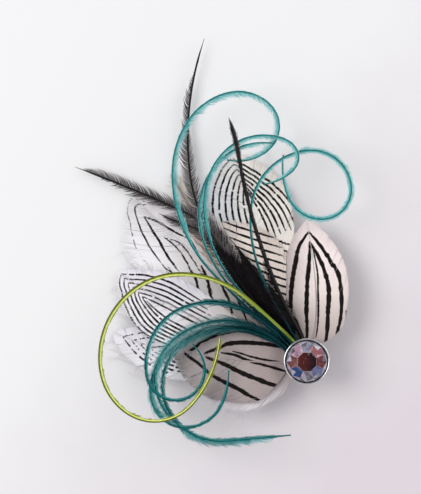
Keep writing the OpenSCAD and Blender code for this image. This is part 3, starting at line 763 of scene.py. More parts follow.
def shaft(build, stem, stop=0.985, butt=QUILL_D, tip=0.14, sides=8, flat=True, step=0.7,
          taper=0.8, point=0.0, swell=0.0):
    """The round quill, drawn out to a fine shaft. A flat one is pressed to the shaft's
    thickness beyond the cup."""
    s = np.linspace(0, stem.length * stop, max(int(stem.length * stop / step), 8))[None, :]
    centres = stem.place(s)
    across, up = side_and_up(centres)
    radius = (butt + (tip - butt) * (s / stem.length) ** taper) / 2
    radius = radius * (1 + swell * np.sin(np.pi * s / stem.length))
    if point:
        radius *= 1 - POINT_TAPER * ramp(s, stem.length - point, stem.length)
    r = np.linalg.norm(centres[..., :2], axis=-1)
    high = radius + (np.minimum(radius, SHAFT_T / 2) - radius) * ramp(r, CLIMB_FROM, CLIMB_TO)
    rings = rings_round(centres, across, up, radius, high if flat else radius, sides)
    a = 2 * np.pi * np.arange(sides) / sides
    outer = math.copysign(1.0, stem.turns[0] - stem.turns[-1])
    build.tubes(rings, along=s, around=outer * np.cos(a)[None, None, :])


def add_quill(piece, stem, material, slot, replaces=(), **shaping):
    quill = Build("along", "around")
    shaft(quill, stem, **shaping)
    quill.finish(piece, material, replaces=replaces)


def striped_feather(name, material, lines, **combing):
    barbs = Build(*VANE_VALUES)
    comb(barbs, VANES[name], lines, **combing)
    barbs.finish("vane_" + name, material, replaces=["feather_" + name],
                 smooth=False)
    add_quill("quill_" + name, VANES[name].stem, white_quill, "white_feather")


VANES = {name: Vane("feather_" + name, width, **plan) for name, width, plan in (
    ("right", 23.5, dict(start=0.02, widest=0.36, base=(0.3, 0.85))),
    ("top", 30, dict(left_share=0.53, widest=0.62)),
    ("centre", 24, dict(left_share=0.38, start=0.2)),
    ("upper_left", 27.5, dict(left_share=0.65, widest=0.68)),
    ("left", 24, dict(left_share=0.58, widest=0.55)),
    ("lower_left", 19, dict(left_share=0.55, widest=0.5)),
    ("front", 27, dict(left_share=0.57, start=0.02, base=(0.95, 0.6))),
    ("under", 17, dict(left_share=0.52, start=0.02, base=(0.8, 0.4))))}

# A line that crosses a vane: its places (from the butt, to the right of the shaft), its width,
# and the share of it that is broken away.
RIGHT_LINES = [
    ([(41.5, -0.3), (37, -4.4), (31, -6.5), (24, -8.4), (17, -9.2), (8, -8.6), (2, -6)], 1.5, 0),
    ([(41.5, 0.2), (36, 3.6), (30, 6.4), (26, 8.4), (20, 9), (12, 8.9), (6, 8)], 1.4, 0.06),
    ([(38, -0.2), (31, -1.5), (23, -3), (13, -3.5), (2, -2)], 1.4, 0),
    ([(38, -0.2), (33, 2), (27, 3.7), (21, 4.6), (13, 4.2), (6, 4.6), (1, 5)], 1.5, 0),
    ([(36, 0.5), (27, 1.1), (19, 0.7), (4, 1.0)], 0.7, 0),
    ([(14, 10.6), (11, 11), (8, 10.6)], 0.7, 0.3),
    ([(10, 12.4), (7, 12)], 0.8, 0.2),
]
FRONT_LINES = [
    ([(32, 0), (27, 3.4), (24, 5.2), (18, 6.5), (10, 6.5), (2, 5)], 1.4, 0),
    ([(37, 0), (33, 4.8), (28, 8), (20, 11)], 1.3, 0),
    ([(22, 2.8), (19, 2.5), (15, 1.7), (1, -0.6)], 0.7, 0),
    ([(26, 1.6), (21, 1.6), (16.5, 0.4), (11, -0.9), (1, -3.4)], 1.0, 0),
    ([(31, -1), (24, -2.4), (19, -4), (13, -6), (7, -8), (1, -9)], 1.5, 0),
    ([(39, -1), (33, -4), (29, -6.5), (25, -8), (19, -10), (14, -12.5), (8, -15.5)], 1.3, 0.06),
]
UPPER_LEFT_LINES = [
    ([(76, 2), (81, -1), (79, -5), (75, -8), (70, -11.5), (65, -13.5), (57, -15.5)], 0.45, 0.3),
    ([(76, 1), (78, -2), (75, -4.5), (71, -6.7), (64, -9.2), (58, -10.3), (48, -12.2), (40, -13)],
     0.65, 0.1),
    ([(73, -2.6), (68, -4), (63, -5.3), (57, -7.2), (50, -8.6)], 0.8, 0.1),
    ([(73, -2.6), (68.5, -0.5), (63, 0.7), (56, 2.6)], 0.7, 0.1),
    ([(63, -3), (59, -2.6), (54, -3.1), (48, -5.2), (38, -9.6)], 0.65, 0.1),
    ([(63, -3), (58, -0.8), (53, -1.1), (46, -3), (36, -6)], 0.55, 0.2),
    ([(54, -15.5), (50, -14.8), (45, -15)], 0.7, 0.2),
    ([(47, -5), (43, -7.4), (36, -13.7)], 0.9, 0.1),
    ([(46, -1.5), (42, -3.2), (35, -8.2), (29, -11.7)], 1.1, 0.08),
    ([(38, -0.8), (34, -2.6), (30, -4.3), (24, -8)], 1.0, 0.1),
    ([(55, -9.6), (50, -11.2), (42, -14)], 0.7, 0.15),
    ([(30, -1), (26, -2.4), (20, -5)], 0.9, 0.1),
    ([(60, 3.5), (54, 2.5), (48, 0.5)], 0.6, 0.4),
]

striped_feather("right", rosy_vane, RIGHT_LINES, fray=0.4, stations=40)
striped_feather("top", cream_vane,
                nested(7, 73, 2.2, -1.4, 0.3, (12.5, 1.9, 20, 0.75), (17, 2.3, 30, 0.95), 0.75,
                       29) + sloping(18, 46, 3.4, 0.85, 0, 12, 0.7),
                fray=0.5, stations=44)
striped_feather("centre", warm_vane, sloping(18, 62, 3.8, 1.2, 8, 15, 0.72),
                fray=0.5, ragged=0.25, stations=48)
striped_feather("upper_left", half_shade_vane, UPPER_LEFT_LINES, fray=0.3, stations=36)
striped_feather("left", cool_vane,
                nested(8, 69, 2.2, -0.4, -0.45, (13.3, 1.9, 20, 0.85), (7.5, 1.3, 20, 0.85), 0.66,
                       32, broken=0.12), fray=0.5, stations=36)
striped_feather("lower_left", cool_vane,
                nested(6, 62, 3.5, 0, -0.3, (8.5, 1.5, 22, 0.9), (7.5, 1.3, 22, 0.9), 0.7,
                       45, broken=0.5), fray=0.8, stations=24)
striped_feather("front", shaded_rosy_vane, FRONT_LINES, fray=0.4, stations=40)
striped_feather("under", grey_vane, [], fray=0.8, stations=24)


BARB_VALUES = ("reach", "tone", "along")


def loose_barbs(build, stem, start, stop, reach, spacing, lean, width, side=(-1, 1), tuft=1,
                tuft_pull=0.7, wave=0.0, stations=6, grow=0.12, shrink=0.2, rise=0.0, thick=BARB_T,
                uneven=0.15, edge_of=None, climb=0.0):
    """Barbs that stand apart on the sides of a shaft, drawn together in tufts.
    The reach is the length square to the shaft, and the lean how far a barb runs forward
    for each millimetre of reach. They spring from near the edge of a vane if one is given."""
    first, last = start * stem.length, stop * stem.length
    for one in side:
        count = int((last - first) / spacing)
        number = np.arange(count)
        s0 = first + (number + 0.5) * spacing + rng.normal(0, spacing * 0.2, count)
        centre = (number // tuft) * tuft + (tuft - 1) / 2
        pull = (centre - number) * spacing * tuft_pull
        t = (s0 - first) / (last - first)
        full = np.clip(t / grow, 0, 1) * np.clip((1 - t) / shrink, 0, 1) ** 0.7
        tufts = number // tuft
        own = rng.normal(size=tufts[-1] + 1)[tufts] + 0.25 * rng.normal(size=count)
        long = reach * full * (1 + uneven * own)
        q = np.linspace(0, 1, stations)[None, :]
        bend = 0.35 + (0.25 * rng.random(tufts[-1] + 1)[tufts] + 0.05 * rng.random(count))[:, None]
        off = 0.1 if edge_of is None else 0.75 * edge_of.reach(s0, one)[:, None]
        s = s0[:, None] + (long * lean + pull)[:, None] * (q * (1 - bend) + bend * q ** 2)
        y = one * (off + long[:, None] * (q * (1 + bend * 0.6) - 0.6 * bend * q ** 2))
        if wave:
            turn = (rng.random(tufts[-1] + 1)[tufts] + 0.1 * rng.random(count))[:, None] * 2 * np.pi
            s = s + wave * long[:, None] * 0.15 * np.sin(q * 7 + turn) * q
            y = y + wave * long[:, None] * 0.12 * np.cos(q * 6 + turn) * q
        tone = rng.random(count)[:, None] + 0 * q
        lift = rise + climb * ramp(q, 0, 0.35) + rng.normal(0, 0.06, count)[:, None] * (1 + 2 * q)
        w = width * (1 - 0.75 * q ** 2) + 0 * s
        strands(build, stem.place(s, y, lift), w, thick, reach=q + 0 * s, tone=tone, along=s)


def add_barbs(piece, stem, material, sets, replaces=()):
    """One piece of loose barbs along a stem, from several sets of them."""
    barbs = Build(*BARB_VALUES)
    for options in sets:
        loose_barbs(barbs, stem, **options)
    barbs.finish(piece, material, replaces=replaces)


RIGHT, LEFT, BOTH = (1,), (-1,), (-1, 1)


def dark_feather(name, slot, shaft_options, material, sets):
    stem = Stem(name)
    add_quill("quill_" + name, stem, black_quill, slot, replaces=[name], **shaft_options)
    add_barbs("barbs_" + name, stem, material, sets)


SPIKE = dict(stop=1.0, butt=0.85, tip=0.7, point=9.0)
SPIKE_BARBS = dict(spacing=0.27, width=0.2, tuft=4, tuft_pull=0.95, stations=8, uneven=0.12)
dark_feather("spike_top", "dark_feather", SPIKE, grey_barbs,
             [dict(SPIKE_BARBS, side=RIGHT, start=0.2, stop=0.74, reach=2.6, lean=1.2, shrink=0.35),
              dict(SPIKE_BARBS, side=LEFT, start=0.2, stop=0.8, reach=2.8, lean=1.2, shrink=0.25),
              dict(SPIKE_BARBS, side=LEFT, start=0.7, stop=0.9, reach=2.1, lean=1.6, shrink=0.5)])
dark_feather("spike_left", "dark_feather", SPIKE, grey_barbs,
             [dict(SPIKE_BARBS, side=RIGHT, start=0.2, stop=0.97, reach=2.6, lean=1.4, shrink=0.12),
              dict(SPIKE_BARBS, side=LEFT, start=0.2, stop=0.92, reach=2.4, lean=1.4, shrink=0.3,
                   uneven=0.35)])
dark_feather("spike_short", "dark_feather", dict(SPIKE, point=6.0), grey_barbs,
             [dict(SPIKE_BARBS, start=0.25, stop=0.98, reach=2.3, lean=1.4)])
BLACK_SHAFT = dict(stop=0.97, butt=0.8, tip=0.25)
BLACK = dict(spacing=0.15, width=0.18, tuft=5, tuft_pull=0.9, wave=1.4, uneven=0.3, stations=8)
BLACK_UNDER = dict(start=0.06, stop=0.85, lean=1.3, shrink=0.6, spacing=0.14, width=0.5, uneven=0.1,
                   rise=-0.25)
dark_feather("black_lower", "black_feather", BLACK_SHAFT, black_barbs,
             [dict(BLACK, side=RIGHT, start=0.12, stop=0.9, reach=4.4, lean=1.2, shrink=0.45),
              dict(BLACK_UNDER, side=RIGHT, reach=4.3, shrink=0.4),
              dict(BLACK_UNDER, side=LEFT, reach=2.4),
              dict(BLACK, side=LEFT, start=0.12, stop=1.0, reach=2.8, lean=1.6, shrink=0.5)])
dark_feather("black_upper", "black_feather", BLACK_SHAFT, black_barbs,
             [dict(BLACK, side=RIGHT, start=0.12, stop=0.75, reach=1.3, lean=2.2, shrink=0.5),
              dict(BLACK, side=RIGHT, start=0.1, stop=0.5, reach=3.0, lean=1.6, shrink=0.7,
                   spacing=0.1, wave=0.5, tuft=1),
              dict(BLACK_UNDER, side=LEFT, reach=3.5, shrink=0.4),
              dict(BLACK, side=LEFT, start=0.08, stop=0.9, reach=3.6, lean=1.5, shrink=0.5,
                   spacing=0.1, wave=0.6, tuft=2)])
dark_feather("spear", "black_feather", dict(stop=1.0, butt=1.3, tip=0.8, flat=False, point=6.0),
             black_barbs,
             [dict(start=0.2, stop=0.97, reach=0.6, spacing=0.2, lean=3.0, width=0.18, tuft=3,
                   shrink=0.05),
              dict(BLACK, side=LEFT, start=0.06, stop=0.4, reach=3.0, lean=2.2, shrink=0.7,
                   spacing=0.1, wave=0.5)])
add_barbs("spear_fuzz", Stem("spear"), grey_barbs,
          [dict(start=0.8, stop=0.99, reach=0.9, spacing=0.2, lean=2.6, width=0.14, tuft=3,
                wave=0.8, shrink=0.4)])

TAN_BARBS = dict(tuft=5, wave=1.0, shrink=0.3, climb=1.6, lean=1.3, width=0.2)
TAN_LONG = dict(TAN_BARBS, start=0.4, stop=0.99, spacing=0.2)
tan_stem = Stem("feather_tan")
add_barbs("barbs_tan", tan_stem, tan_barbs,
          [dict(TAN_LONG, side=LEFT, reach=4.2), dict(TAN_LONG, side=RIGHT, reach=4.4)],
          replaces=["feather_tan"])
add_barbs("barbs_brown", tan_stem, brown_barbs,
          [dict(TAN_BARBS, side=LEFT, start=0.46, stop=0.7, reach=5.2, spacing=0.28, tuft=3,
                climb=1.8, width=0.24, shrink=0.15)])
add_quill("quill_tan", tan_stem, white_quill, "tan_feather", tip=0.2)

# ---- down, the loose fluff along the edges of the pale feathers

FLUFF = dict(spacing=0.5, lean=1.5, width=0.09, thick=0.04, tuft=4, tuft_pull=0.9, wave=3.0,
             stations=12, uneven=0.4, grow=0.2, shrink=0.3, rise=-0.15)
for name, options in (
        ("upper_left", dict(side=LEFT, start=0.35, stop=0.9, reach=4.6)),
        ("left", dict(start=0.5, stop=1.0, reach=3.0)),
        ("lower_left", dict(start=0.4, stop=1.0, reach=4.0)),
        ("under", dict(start=0.3, stop=1.0, reach=5.0, spacing=0.35)),
        ("top", dict(start=0.55, stop=1.0, reach=3.2))):
    add_barbs("down_" + name, VANES[name].stem, down,
              [dict(FLUFF, edge_of=VANES[name], **options)])

# ---------------------------------------------------------------- curled stems


def curl(name, kind, sets, pale=(), swell=0.0):
    """A curled, stripped quill with its fringes of short barbs, and pale ones over them."""
    quill_stuff, fringe_stuff, slot, butt, tip = kind
    stem = Stem("curl_" + name)
    add_quill("stem_" + name, stem, quill_stuff, slot, replaces=["curl_" + name], stop=1.0,
              butt=butt, tip=tip, sides=12, flat=False, step=0.5, taper=1.0, swell=swell)
    add_barbs("fringe_" + name, stem, fringe_stuff, sets)
    if pale:
        add_barbs("wisps_" + name, stem, pale_fringe, pale)


def fringe(side, reach, start=0.12, stop=0.99, lean=1.1, spacing=0.18, width=0.14):
    return dict(side=side, reach=reach, start=start, stop=stop, lean=lean, spacing=spacing,
                width=width, tuft=3, tuft_pull=0.4, grow=0.08, shrink=0.12, uneven=0.2)


def veil(side, reach, start, stop):
    """A few long barbs laid back along a stem."""
    return dict(side=side, reach=reach, start=start, stop=stop, lean=3.4, spacing=0.4, width=0.12,
                tuft=2, wave=0.5, stations=10, uneven=0.5, rise=0.2)


TEAL = (teal_quill, teal_fringe, "teal_quill", CURL_D, CURL_TIP_D)
DEEP = (deep_quill, deep_fringe, "teal_quill", CURL_D, CURL_TIP_D)
LIME = (lime_quill, lime_stubs, "lime_quill", LIME_D, LIME_TIP_D)
NAP = fringe(BOTH, 0.35, start=0.06, lean=2.0)
# Dense barbs along the stems near the stone; with the painted root shade they stand partly for the
# shade among the butts.
ROOTS = fringe(BOTH, 1.1, start=0.06, stop=0.34, lean=2.2)
curl("high", TEAL, [NAP, fringe(RIGHT, 1.6, start=0.3)])
curl("middle", TEAL, [NAP, fringe(RIGHT, 1.2, start=0.36)])
curl("twin", TEAL, [NAP, fringe(RIGHT, 1.2, start=0.5)])
curl("right", TEAL, [NAP, fringe(RIGHT, 1.0, start=0.36), fringe(LEFT, 1.1, start=0.5, stop=0.9)])
curl("long", DEEP, [NAP, ROOTS, fringe(BOTH, 0.8, start=0.2),
                    fringe(RIGHT, 2.0, start=0.64, stop=0.88)],
     pale=[fringe(RIGHT, 1.5, start=0.62, stop=0.95, lean=1.8, spacing=0.14)])
curl("hook", DEEP, [NAP, ROOTS, fringe(BOTH, 0.6, start=0.2),
                    fringe(LEFT, 1.5, start=0.25, stop=0.75)],
     pale=[veil(LEFT, 1.8, 0.15, 0.75), veil(RIGHT, 1.2, 0.2, 0.7)])
curl("inner", DEEP, [NAP, ROOTS, fringe(BOTH, 0.7, start=0.25)],
     pale=[veil(LEFT, 1.8, 0.2, 0.85), veil(RIGHT, 1.4, 0.2, 0.7)])
curl("small", DEEP, [NAP, ROOTS, fringe(BOTH, 0.6, start=0.25)], pale=[veil(LEFT, 1.2, 0.2, 0.6)])
curl("lime", LIME,
     [fringe(RIGHT, 0.3, start=0.1, stop=0.99, lean=2.0, spacing=0.2, width=0.2),
      fringe(LEFT, 0.75, start=0.06, stop=0.97, lean=1.3, spacing=0.36, width=0.3),
      fringe(BOTH, 0.9, start=0.86, stop=1.0, lean=1.4, spacing=0.3, width=0.12)], swell=0.95)
# Short bright barbs along the lime quill's inner edge, coloured as a painted highlight.
add_barbs("highlight_barbs_lime", Stem("curl_lime"), lime_highlight_barbs,
          [dict(side=LEFT, start=0.06, stop=0.97, reach=0.3, spacing=0.55, lean=1.5, width=0.3,
                rise=0.3, tuft=2, uneven=0.5)])

# ---------------------------------------------------------------- hard pieces

HARD_EDGE = math.radians(35)
SOFT_EDGE = math.radians(50)
FLAT = math.radians(0.5)
MERGE = 0.004
CUP_SIDES = 96


def take(obj, mode="OBJECT"):
    """Selects one object alone and opens it in the mode."""
    if bpy.context.object and bpy.context.object.mode != "OBJECT":
        bpy.ops.object.mode_set(mode="OBJECT")
    bpy.ops.object.select_all(action="DESELECT")
    obj.select_set(True)
    bpy.context.view_layer.objects.active = obj
    if mode == "EDIT":
        bpy.ops.object.mode_set(mode="EDIT")
        bpy.ops.mesh.select_all(action="SELECT")


def merged_copy(node, name):
    """A new piece from a node's mesh, its corners merged and its flat faces made whole."""
    obj = bpy.data.objects.new(name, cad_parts[node].data.copy())
    obj.data.materials.clear()
    bpy.context.scene.collection.objects.link(obj)
    take(obj, "EDIT")
    bpy.ops.mesh.remove_doubles(threshold=MERGE * MM)
    bpy.ops.mesh.dissolve_limited(angle_limit=FLAT)
    bpy.ops.object.mode_set(mode="OBJECT")
    return obj


def bevel(obj, width, segments=2, angle=HARD_EDGE):
    take(obj)
    edges = obj.modifiers.new("edges", "BEVEL")
    edges.width = width * MM
    edges.segments = segments
    edges.limit_method = "ANGLE"
    edges.angle_limit = angle
    edges.use_clamp_overlap = True
    bpy.ops.object.modifier_apply(modifier="edges")


def smooth(obj, angle=HARD_EDGE):
    take(obj)
    bpy.ops.object.shade_smooth_by_angle(angle=angle)


def lathe(name, profile):
    """Turns a closed profile of (radius, height), from the middle of the bottom round to the
    middle of the top, by drawing one ring on from place to place."""
    bpy.ops.object.select_all(action="DESELECT")
    radius, height = profile[0]
    centre = (HUB[0] * MM, HUB[1] * MM, height * MM)
    bpy.ops.mesh.primitive_circle_add(vertices=CUP_SIDES, radius=radius * MM, fill_type="NGON",
                                      location=centre)
    obj = bpy.context.object
    obj.name = name
    bpy.ops.object.transform_apply(location=True, rotation=True, scale=True)
    take(obj, "EDIT")
    for r, z in profile[1:]:
        bpy.ops.mesh.extrude_region_move(
            TRANSFORM_OT_translate={"value": (0, 0, (z - height) * MM)})
        if abs(r - radius) > TINY:
            share = r / radius
            bpy.ops.transform.resize(value=(share, share, 1), center_override=centre)
        radius, height = r, z
    bpy.ops.mesh.select_all(action="SELECT")
    bpy.ops.mesh.normals_make_consistent(inside=False)
    bpy.ops.object.mode_set(mode="OBJECT")
    return obj


def dress_hard(obj, material, slot, *nodes, body="root"):
    obj.data.materials.append(material)
    dress(obj, body, nodes)


# ---- the stone

STAR_EDGE = 0.04  # the bevel between two facets, which glints
TABLE_R, CROWN_R, BELT_R = 3.65, 6.3, 7.25
CROWN_DROP, BELT_DROP, GIRDLE_T = 1.2, 2.1, 1.0
VIEW_HEADING = 45.0  # the heading that is the top of the view
HALF_SIDE = math.radians(22.5)
SECTORS, FINE_SECTORS = 8, 32
SLIVER, SLIVER_R = 0.3, 7.0  # a facet with less area, and its middle inside this, is a bevel
CROWN_IN, CROWN_TO, BELT_TO = 4.6, 6.2, 7.35  # radii that part the facets by their middles
STAR_R = 7.2  # facets inside this are parted into triangles
LEVEL, SLOPING = 0.99, 0.3  # upward shares of a level facet's normal and of a sloping one's
TABLE_FROM, TABLE_SPAN = -0.6, 2.2  # where the table's colour changes, to the right of its middle
# Painted reflections and painted glints: the colours stand for what the glass and foil mirror, not
# for a colour of the stone.
CROWN_REFLECTIONS = [(0.42, 0.43, 0.56), (0.25, 0.06, 0.07), (0.16, 0.025, 0.03), (0.14, 0.16, 0.30),
               (0.27, 0.24, 0.29), (0.012, 0.04, 0.15), (0.19, 0.045, 0.04), (0.50, 0.30, 0.40)]
TABLE_REFLECTION_LEFT, TABLE_REFLECTION_RIGHT = np.array((0.085, 0.016, 0.010)), np.array((0.003, 0.003, 0.010))
GLINT, DULL_GLINT = (0.92, 0.90, 0.93), (0.42, 0.36, 0.42)
SPARK = (0.60, 0.58, 0.64)
WARM_GLINT = (0.50, 0.33, 0.32)
# Painted shadow: the dark ring of facets just inside the cup's lip.
PAINTED_RIM_SHADOW = (0.03, 0.03, 0.035)
BELT_REFLECTIONS = [(0.42, 0.40, 0.46), (0.20, 0.18, 0.22), (0.40, 0.38, 0.44), (0.13, 0.12, 0.15)]


def stone_material():
    """Cut glass over foil: every facet has a painted reflection as its colour, clouded here and
    there with painted sparkle.
    """
    material, g, shader = new_material("Cut stone", roughness=0.07, Specular_IOR_Level=0.3)
    painted_sparkle = g.use(mottle, Base=g.attribute("facet", "Color"), Patch=(0.60, 0.50, 0.60),
                  Scale=900.0, Detail=3.0, From=0.56, To=0.72, Most=0.2)
    deep = g.use(mottle, Base=painted_sparkle["Colour"], Patch=(0.04, 0.012, 0.018), Scale=600.0,
                 Detail=2.0, From=0.5, To=0.3, Most=0.5)
    g.put(deep["Colour"], shader.inputs["Base Color"])
    g.put(g.span(painted_sparkle["Cloud"], 0.3, 0.8, 0.05, 0.14), shader.inputs["Roughness"])
    return material


def facet_colour(face, place, table_z):
    """A facet's painted reflection, by its bearing from the top of the view, clockwise."""
    x, y = face.center.x / MM - HUB[0], face.center.y / MM - HUB[1]
    r = math.hypot(x, y)
    bearing = (math.degrees(math.atan2(x, y)) - VIEW_HEADING) % 360
    sector = round(bearing / 360 * SECTORS) % SECTORS
    fine = int(bearing / 360 * FINE_SECTORS)
    if face.normal.z > LEVEL and face.center.z / MM > table_z - 0.1:
        turn = math.radians(VIEW_HEADING)
        across = (place.x / MM - HUB[0]) * math.cos(turn) - (place.y / MM - HUB[1]) * math.sin(turn)
        share = min(max((across - TABLE_FROM) / TABLE_SPAN, 0), 1)
        return TABLE_REFLECTION_LEFT * (1 - share) + TABLE_REFLECTION_RIGHT * share
    if face.area / MM ** 2 < SLIVER and r < SLIVER_R:
        return GLINT if sector in (0, 7) else DULL_GLINT
    if r < CROWN_TO:
        if fine in (1, 5) and r > CROWN_IN:
            return WARM_GLINT
        shade = 0.6 + 0.75 * ((fine * 7) % 5) / 4
        return [shade * c for c in CROWN_REFLECTIONS[sector]]
    # The outermost facets carry the painted shadow of the lip.
    if r > BELT_TO:
        return PAINTED_RIM_SHADOW
    if fine in (3, 9, 19, 28):
        return SPARK
    shade = 0.7 + 0.6 * ((int(place.x * 9e4) + int(place.y * 7e4)) % 7) / 6
    return [shade * c for c in BELT_REFLECTIONS[(fine * 5) % 4]]


def ring(name, sides, radius, height, turn=0.0):
    bpy.ops.mesh.primitive_circle_add(vertices=sides, radius=radius * MM, rotation=(0, 0, turn),
                                      location=(HUB[0] * MM, HUB[1] * MM, height * MM))
    bpy.context.object.name = name
    return bpy.context.object


def cut_stone():
    """An eight sided table, eight long facets, a broken belt of small ones and a girdle."""
    low, high = box_mm("stone")
    base, top = low[2], high[2]
    girdle = (high[0] - low[0]) / 2
    bpy.ops.object.select_all(action="DESELECT")
    rings = [ring("table", 8, TABLE_R, top, HALF_SIDE),
             ring("crown", 8, CROWN_R, top - CROWN_DROP, HALF_SIDE),
             ring("belt", 16, BELT_R, top - BELT_DROP), ring("girdle", 16, girdle, base + GIRDLE_T),
             ring("foot", 16, girdle, base)]
    for one in rings:
        one.select_set(True)
    bpy.ops.object.join()
    obj = bpy.context.object
    obj.name = "cut_stone"
    bpy.ops.object.transform_apply(location=True, rotation=True, scale=True)
    take(obj, "EDIT")
    bpy.ops.mesh.convex_hull()
    bpy.ops.mesh.select_all(action="SELECT")
    bpy.ops.mesh.dissolve_limited(angle_limit=FLAT)
    bpy.ops.object.mode_set(mode="OBJECT")
    bevel(obj, STAR_EDGE, segments=1, angle=math.radians(4))
    take(obj, "EDIT")
    bpy.ops.mesh.select_all(action="DESELECT")
    bpy.ops.object.mode_set(mode="OBJECT")
    for face in obj.data.polygons:
        r = math.hypot(face.center.x / MM - HUB[0], face.center.y / MM - HUB[1])
        face.select = bool(face.normal.z > SLOPING and r < STAR_R
                           and face.area > SLIVER * MM ** 2)
    bpy.ops.object.mode_set(mode="EDIT")
    bpy.ops.mesh.poke()
    bpy.ops.object.mode_set(mode="OBJECT")
    mesh = obj.data
    # Each facet gets its painted reflection colour.
    layer = mesh.color_attributes.new("facet", "FLOAT_COLOR", "CORNER")
    for face in mesh.polygons:
        for corner in face.loop_indices:
            place = mesh.vertices[mesh.loops[corner].vertex_index].co
            layer.data[corner].color = (*facet_colour(face, place, top), 1)
    dress_hard(obj, stone_material(), "rhinestone", "stone")


LIP_R = 0.32
LIP_PROUD = 0.04  # how far the rolled lip stands out from the wall
CUP_WALL = 0.4
CUP_START = 0.4
STONE_GAP = 0.02


def cup():
    """The setting: a spun cup whose lip is rolled over the stone's girdle."""
    low, high = box_mm("setting_cup")
    wall = CUP_R - LIP_PROUD
    lip_z, foot = high[2] - LIP_R, low[2]
    inside, floor_z = wall - CUP_WALL, box_mm("stone")[0][2] - STONE_GAP
    roll = [(wall - LIP_R + LIP_PROUD + LIP_R * math.cos(math.radians(a)),
             lip_z + LIP_R * math.sin(math.radians(a))) for a in range(-60, 181, 20)]
    profile = ([(CUP_START, foot), (wall - 0.5, foot), (wall - 0.15, foot + 0.05),
                (wall, foot + 0.2), (wall, lip_z - 0.5), (wall - 0.06, lip_z - 0.4),
                (wall - 0.05, lip_z - 0.3)] + roll
               + [(inside, lip_z - 0.35), (inside, floor_z), (CUP_START, floor_z)])
    obj = lathe("rolled_cup", profile)
    smooth(obj, SOFT_EDGE)
    dress_hard(obj, silver, "silver", "setting_cup")


cut_stone()
cup()

# ---- the clip

WIRE_D = 0.7
COIL_R = 1.35
COIL_TURNS, COIL_PITCH = 3, 0.78
COIL_STEP = 7.5
LEG_STATIONS = 14
LEG_RISE = 0.36  # from the bottom of the spring's solid to the middle of its lever leg

for node, name, edge, body in (("clip_blade", "blade", 0.12, "root"),
                               ("clip_pin", "rivet", 0.12, "root"),
                               ("clip_prong", "prong", 0.10, "lever")):
    piece = merged_copy(node, name)
    bevel(piece, edge)
    smooth(piece)
    dress_hard(piece, steel, "steel", node, body=body)


def spring():
    """The torsion spring: a leg under the blade, the coil on the pin, a leg on the lever."""
    low, _ = box_mm("clip_spring")
    pin_low, pin_high = box_mm("clip_pin")
    pin_y, pin_z = (pin_low[1] + pin_high[1]) / 2, (pin_low[2] + pin_high[2]) / 2
    half = COIL_TURNS * COIL_PITCH / 2
    leg_y = low[1] + LAY_GAP
    root_z, lever_z = -LAY_GAP - WIRE_D / 2, low[2] + LEG_RISE
    a = np.radians(np.arange(90, 90 + 360 * COIL_TURNS + 1, COIL_STEP))
    coil = np.stack([COIL_PITCH * np.linspace(0, COIL_TURNS, len(a)) - half,
                     pin_y + COIL_R * np.cos(a), pin_z + COIL_R * np.sin(a)], -1)
    leg_a = np.linspace([-half, leg_y, root_z], coil[0], LEG_STATIONS)[:-2]
    leg_b = np.linspace(coil[-1], [half, leg_y, lever_z], LEG_STATIONS)[2:]
    path = np.concatenate([leg_a, coil, leg_b])
    way = np.gradient(path, axis=0)
    way /= np.linalg.norm(way, axis=1, keepdims=True)
    side = np.cross(way, [1.0, 0, 0])
    side /= np.linalg.norm(side, axis=1, keepdims=True)
    size = np.full((1, len(path)), WIRE_D / 2)
    rings = rings_round(path[None], side[None], np.cross(side, way)[None], size, size, sides=14)
    rings[..., :2] -= HUB
    build = Build()
    build.tubes(rings)
    obj = build.finish("spring", spring_wire, body=None,
                       replaces=["clip_spring"])
    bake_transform(obj)


spring()

# ---- felt and glue

FUZZ_COUNT = 700
FUZZ_LENGTH = 0.55
FUZZ_W, FUZZ_T = 0.05, 0.04


def fuzz(name, obj):
    """Short loose fibres that stand off a felt piece."""
    mesh = obj.data
    areas = np.array([face.area for face in mesh.polygons])
    picks = rng.choice(len(areas), FUZZ_COUNT, p=areas / areas.sum())
    q = np.linspace(0, 1, 4)[:, None]
    paths = np.zeros((FUZZ_COUNT, 4, 3))
    for row, i in enumerate(picks):
        face = mesh.polygons[int(i)]
        corners = np.array([mesh.vertices[v].co for v in face.vertices])
        start = rng.dirichlet(np.ones(len(corners))) @ corners / MM
        way = np.array(face.normal) * 0.5 + rng.normal(0, 0.8, 3)
        turn = rng.normal(0, 0.6, 3)
        paths[row] = start + FUZZ_LENGTH * (0.4 + rng.random()) * (q * way + q ** 2 * turn)
    paths[..., :2] -= HUB
    build = Build("tone")
    strands(build, paths, np.full((FUZZ_COUNT, 4), FUZZ_W), FUZZ_T,
            tone=rng.random(FUZZ_COUNT)[:, None])
    build.finish(name, felt)


for node, name, material, slot, edge in (("felt_backing", "backing", felt, "felt", 0.25),
                                         ("felt_pad", "pad", felt, "felt", 0.25),
                                         ("glue_core", "glue", glue, "glue", 0.4)):
    piece = merged_copy(node, name)
    bevel(piece, edge, segments=3)
    smooth(piece, SOFT_EDGE)
    dress_hard(piece, material, slot, node)
    if material is felt:
        fuzz(name + "_fuzz", piece)

# ---------------------------------------------------------------- stage, lights and camera

VIEW_CENTRE = (4.6, 31.2)
VIEW_HEIGHT = 177.8
CAMERA_AWAY = 1100.0
SENSOR = 36.0
FLOOR_SIZE, FLOOR_MIDDLE, FLOOR_GAP = 3.0, (0.03, 0.03), 0.0002  # metres, as the lamps' places
PLAIN_SKY = 0.54


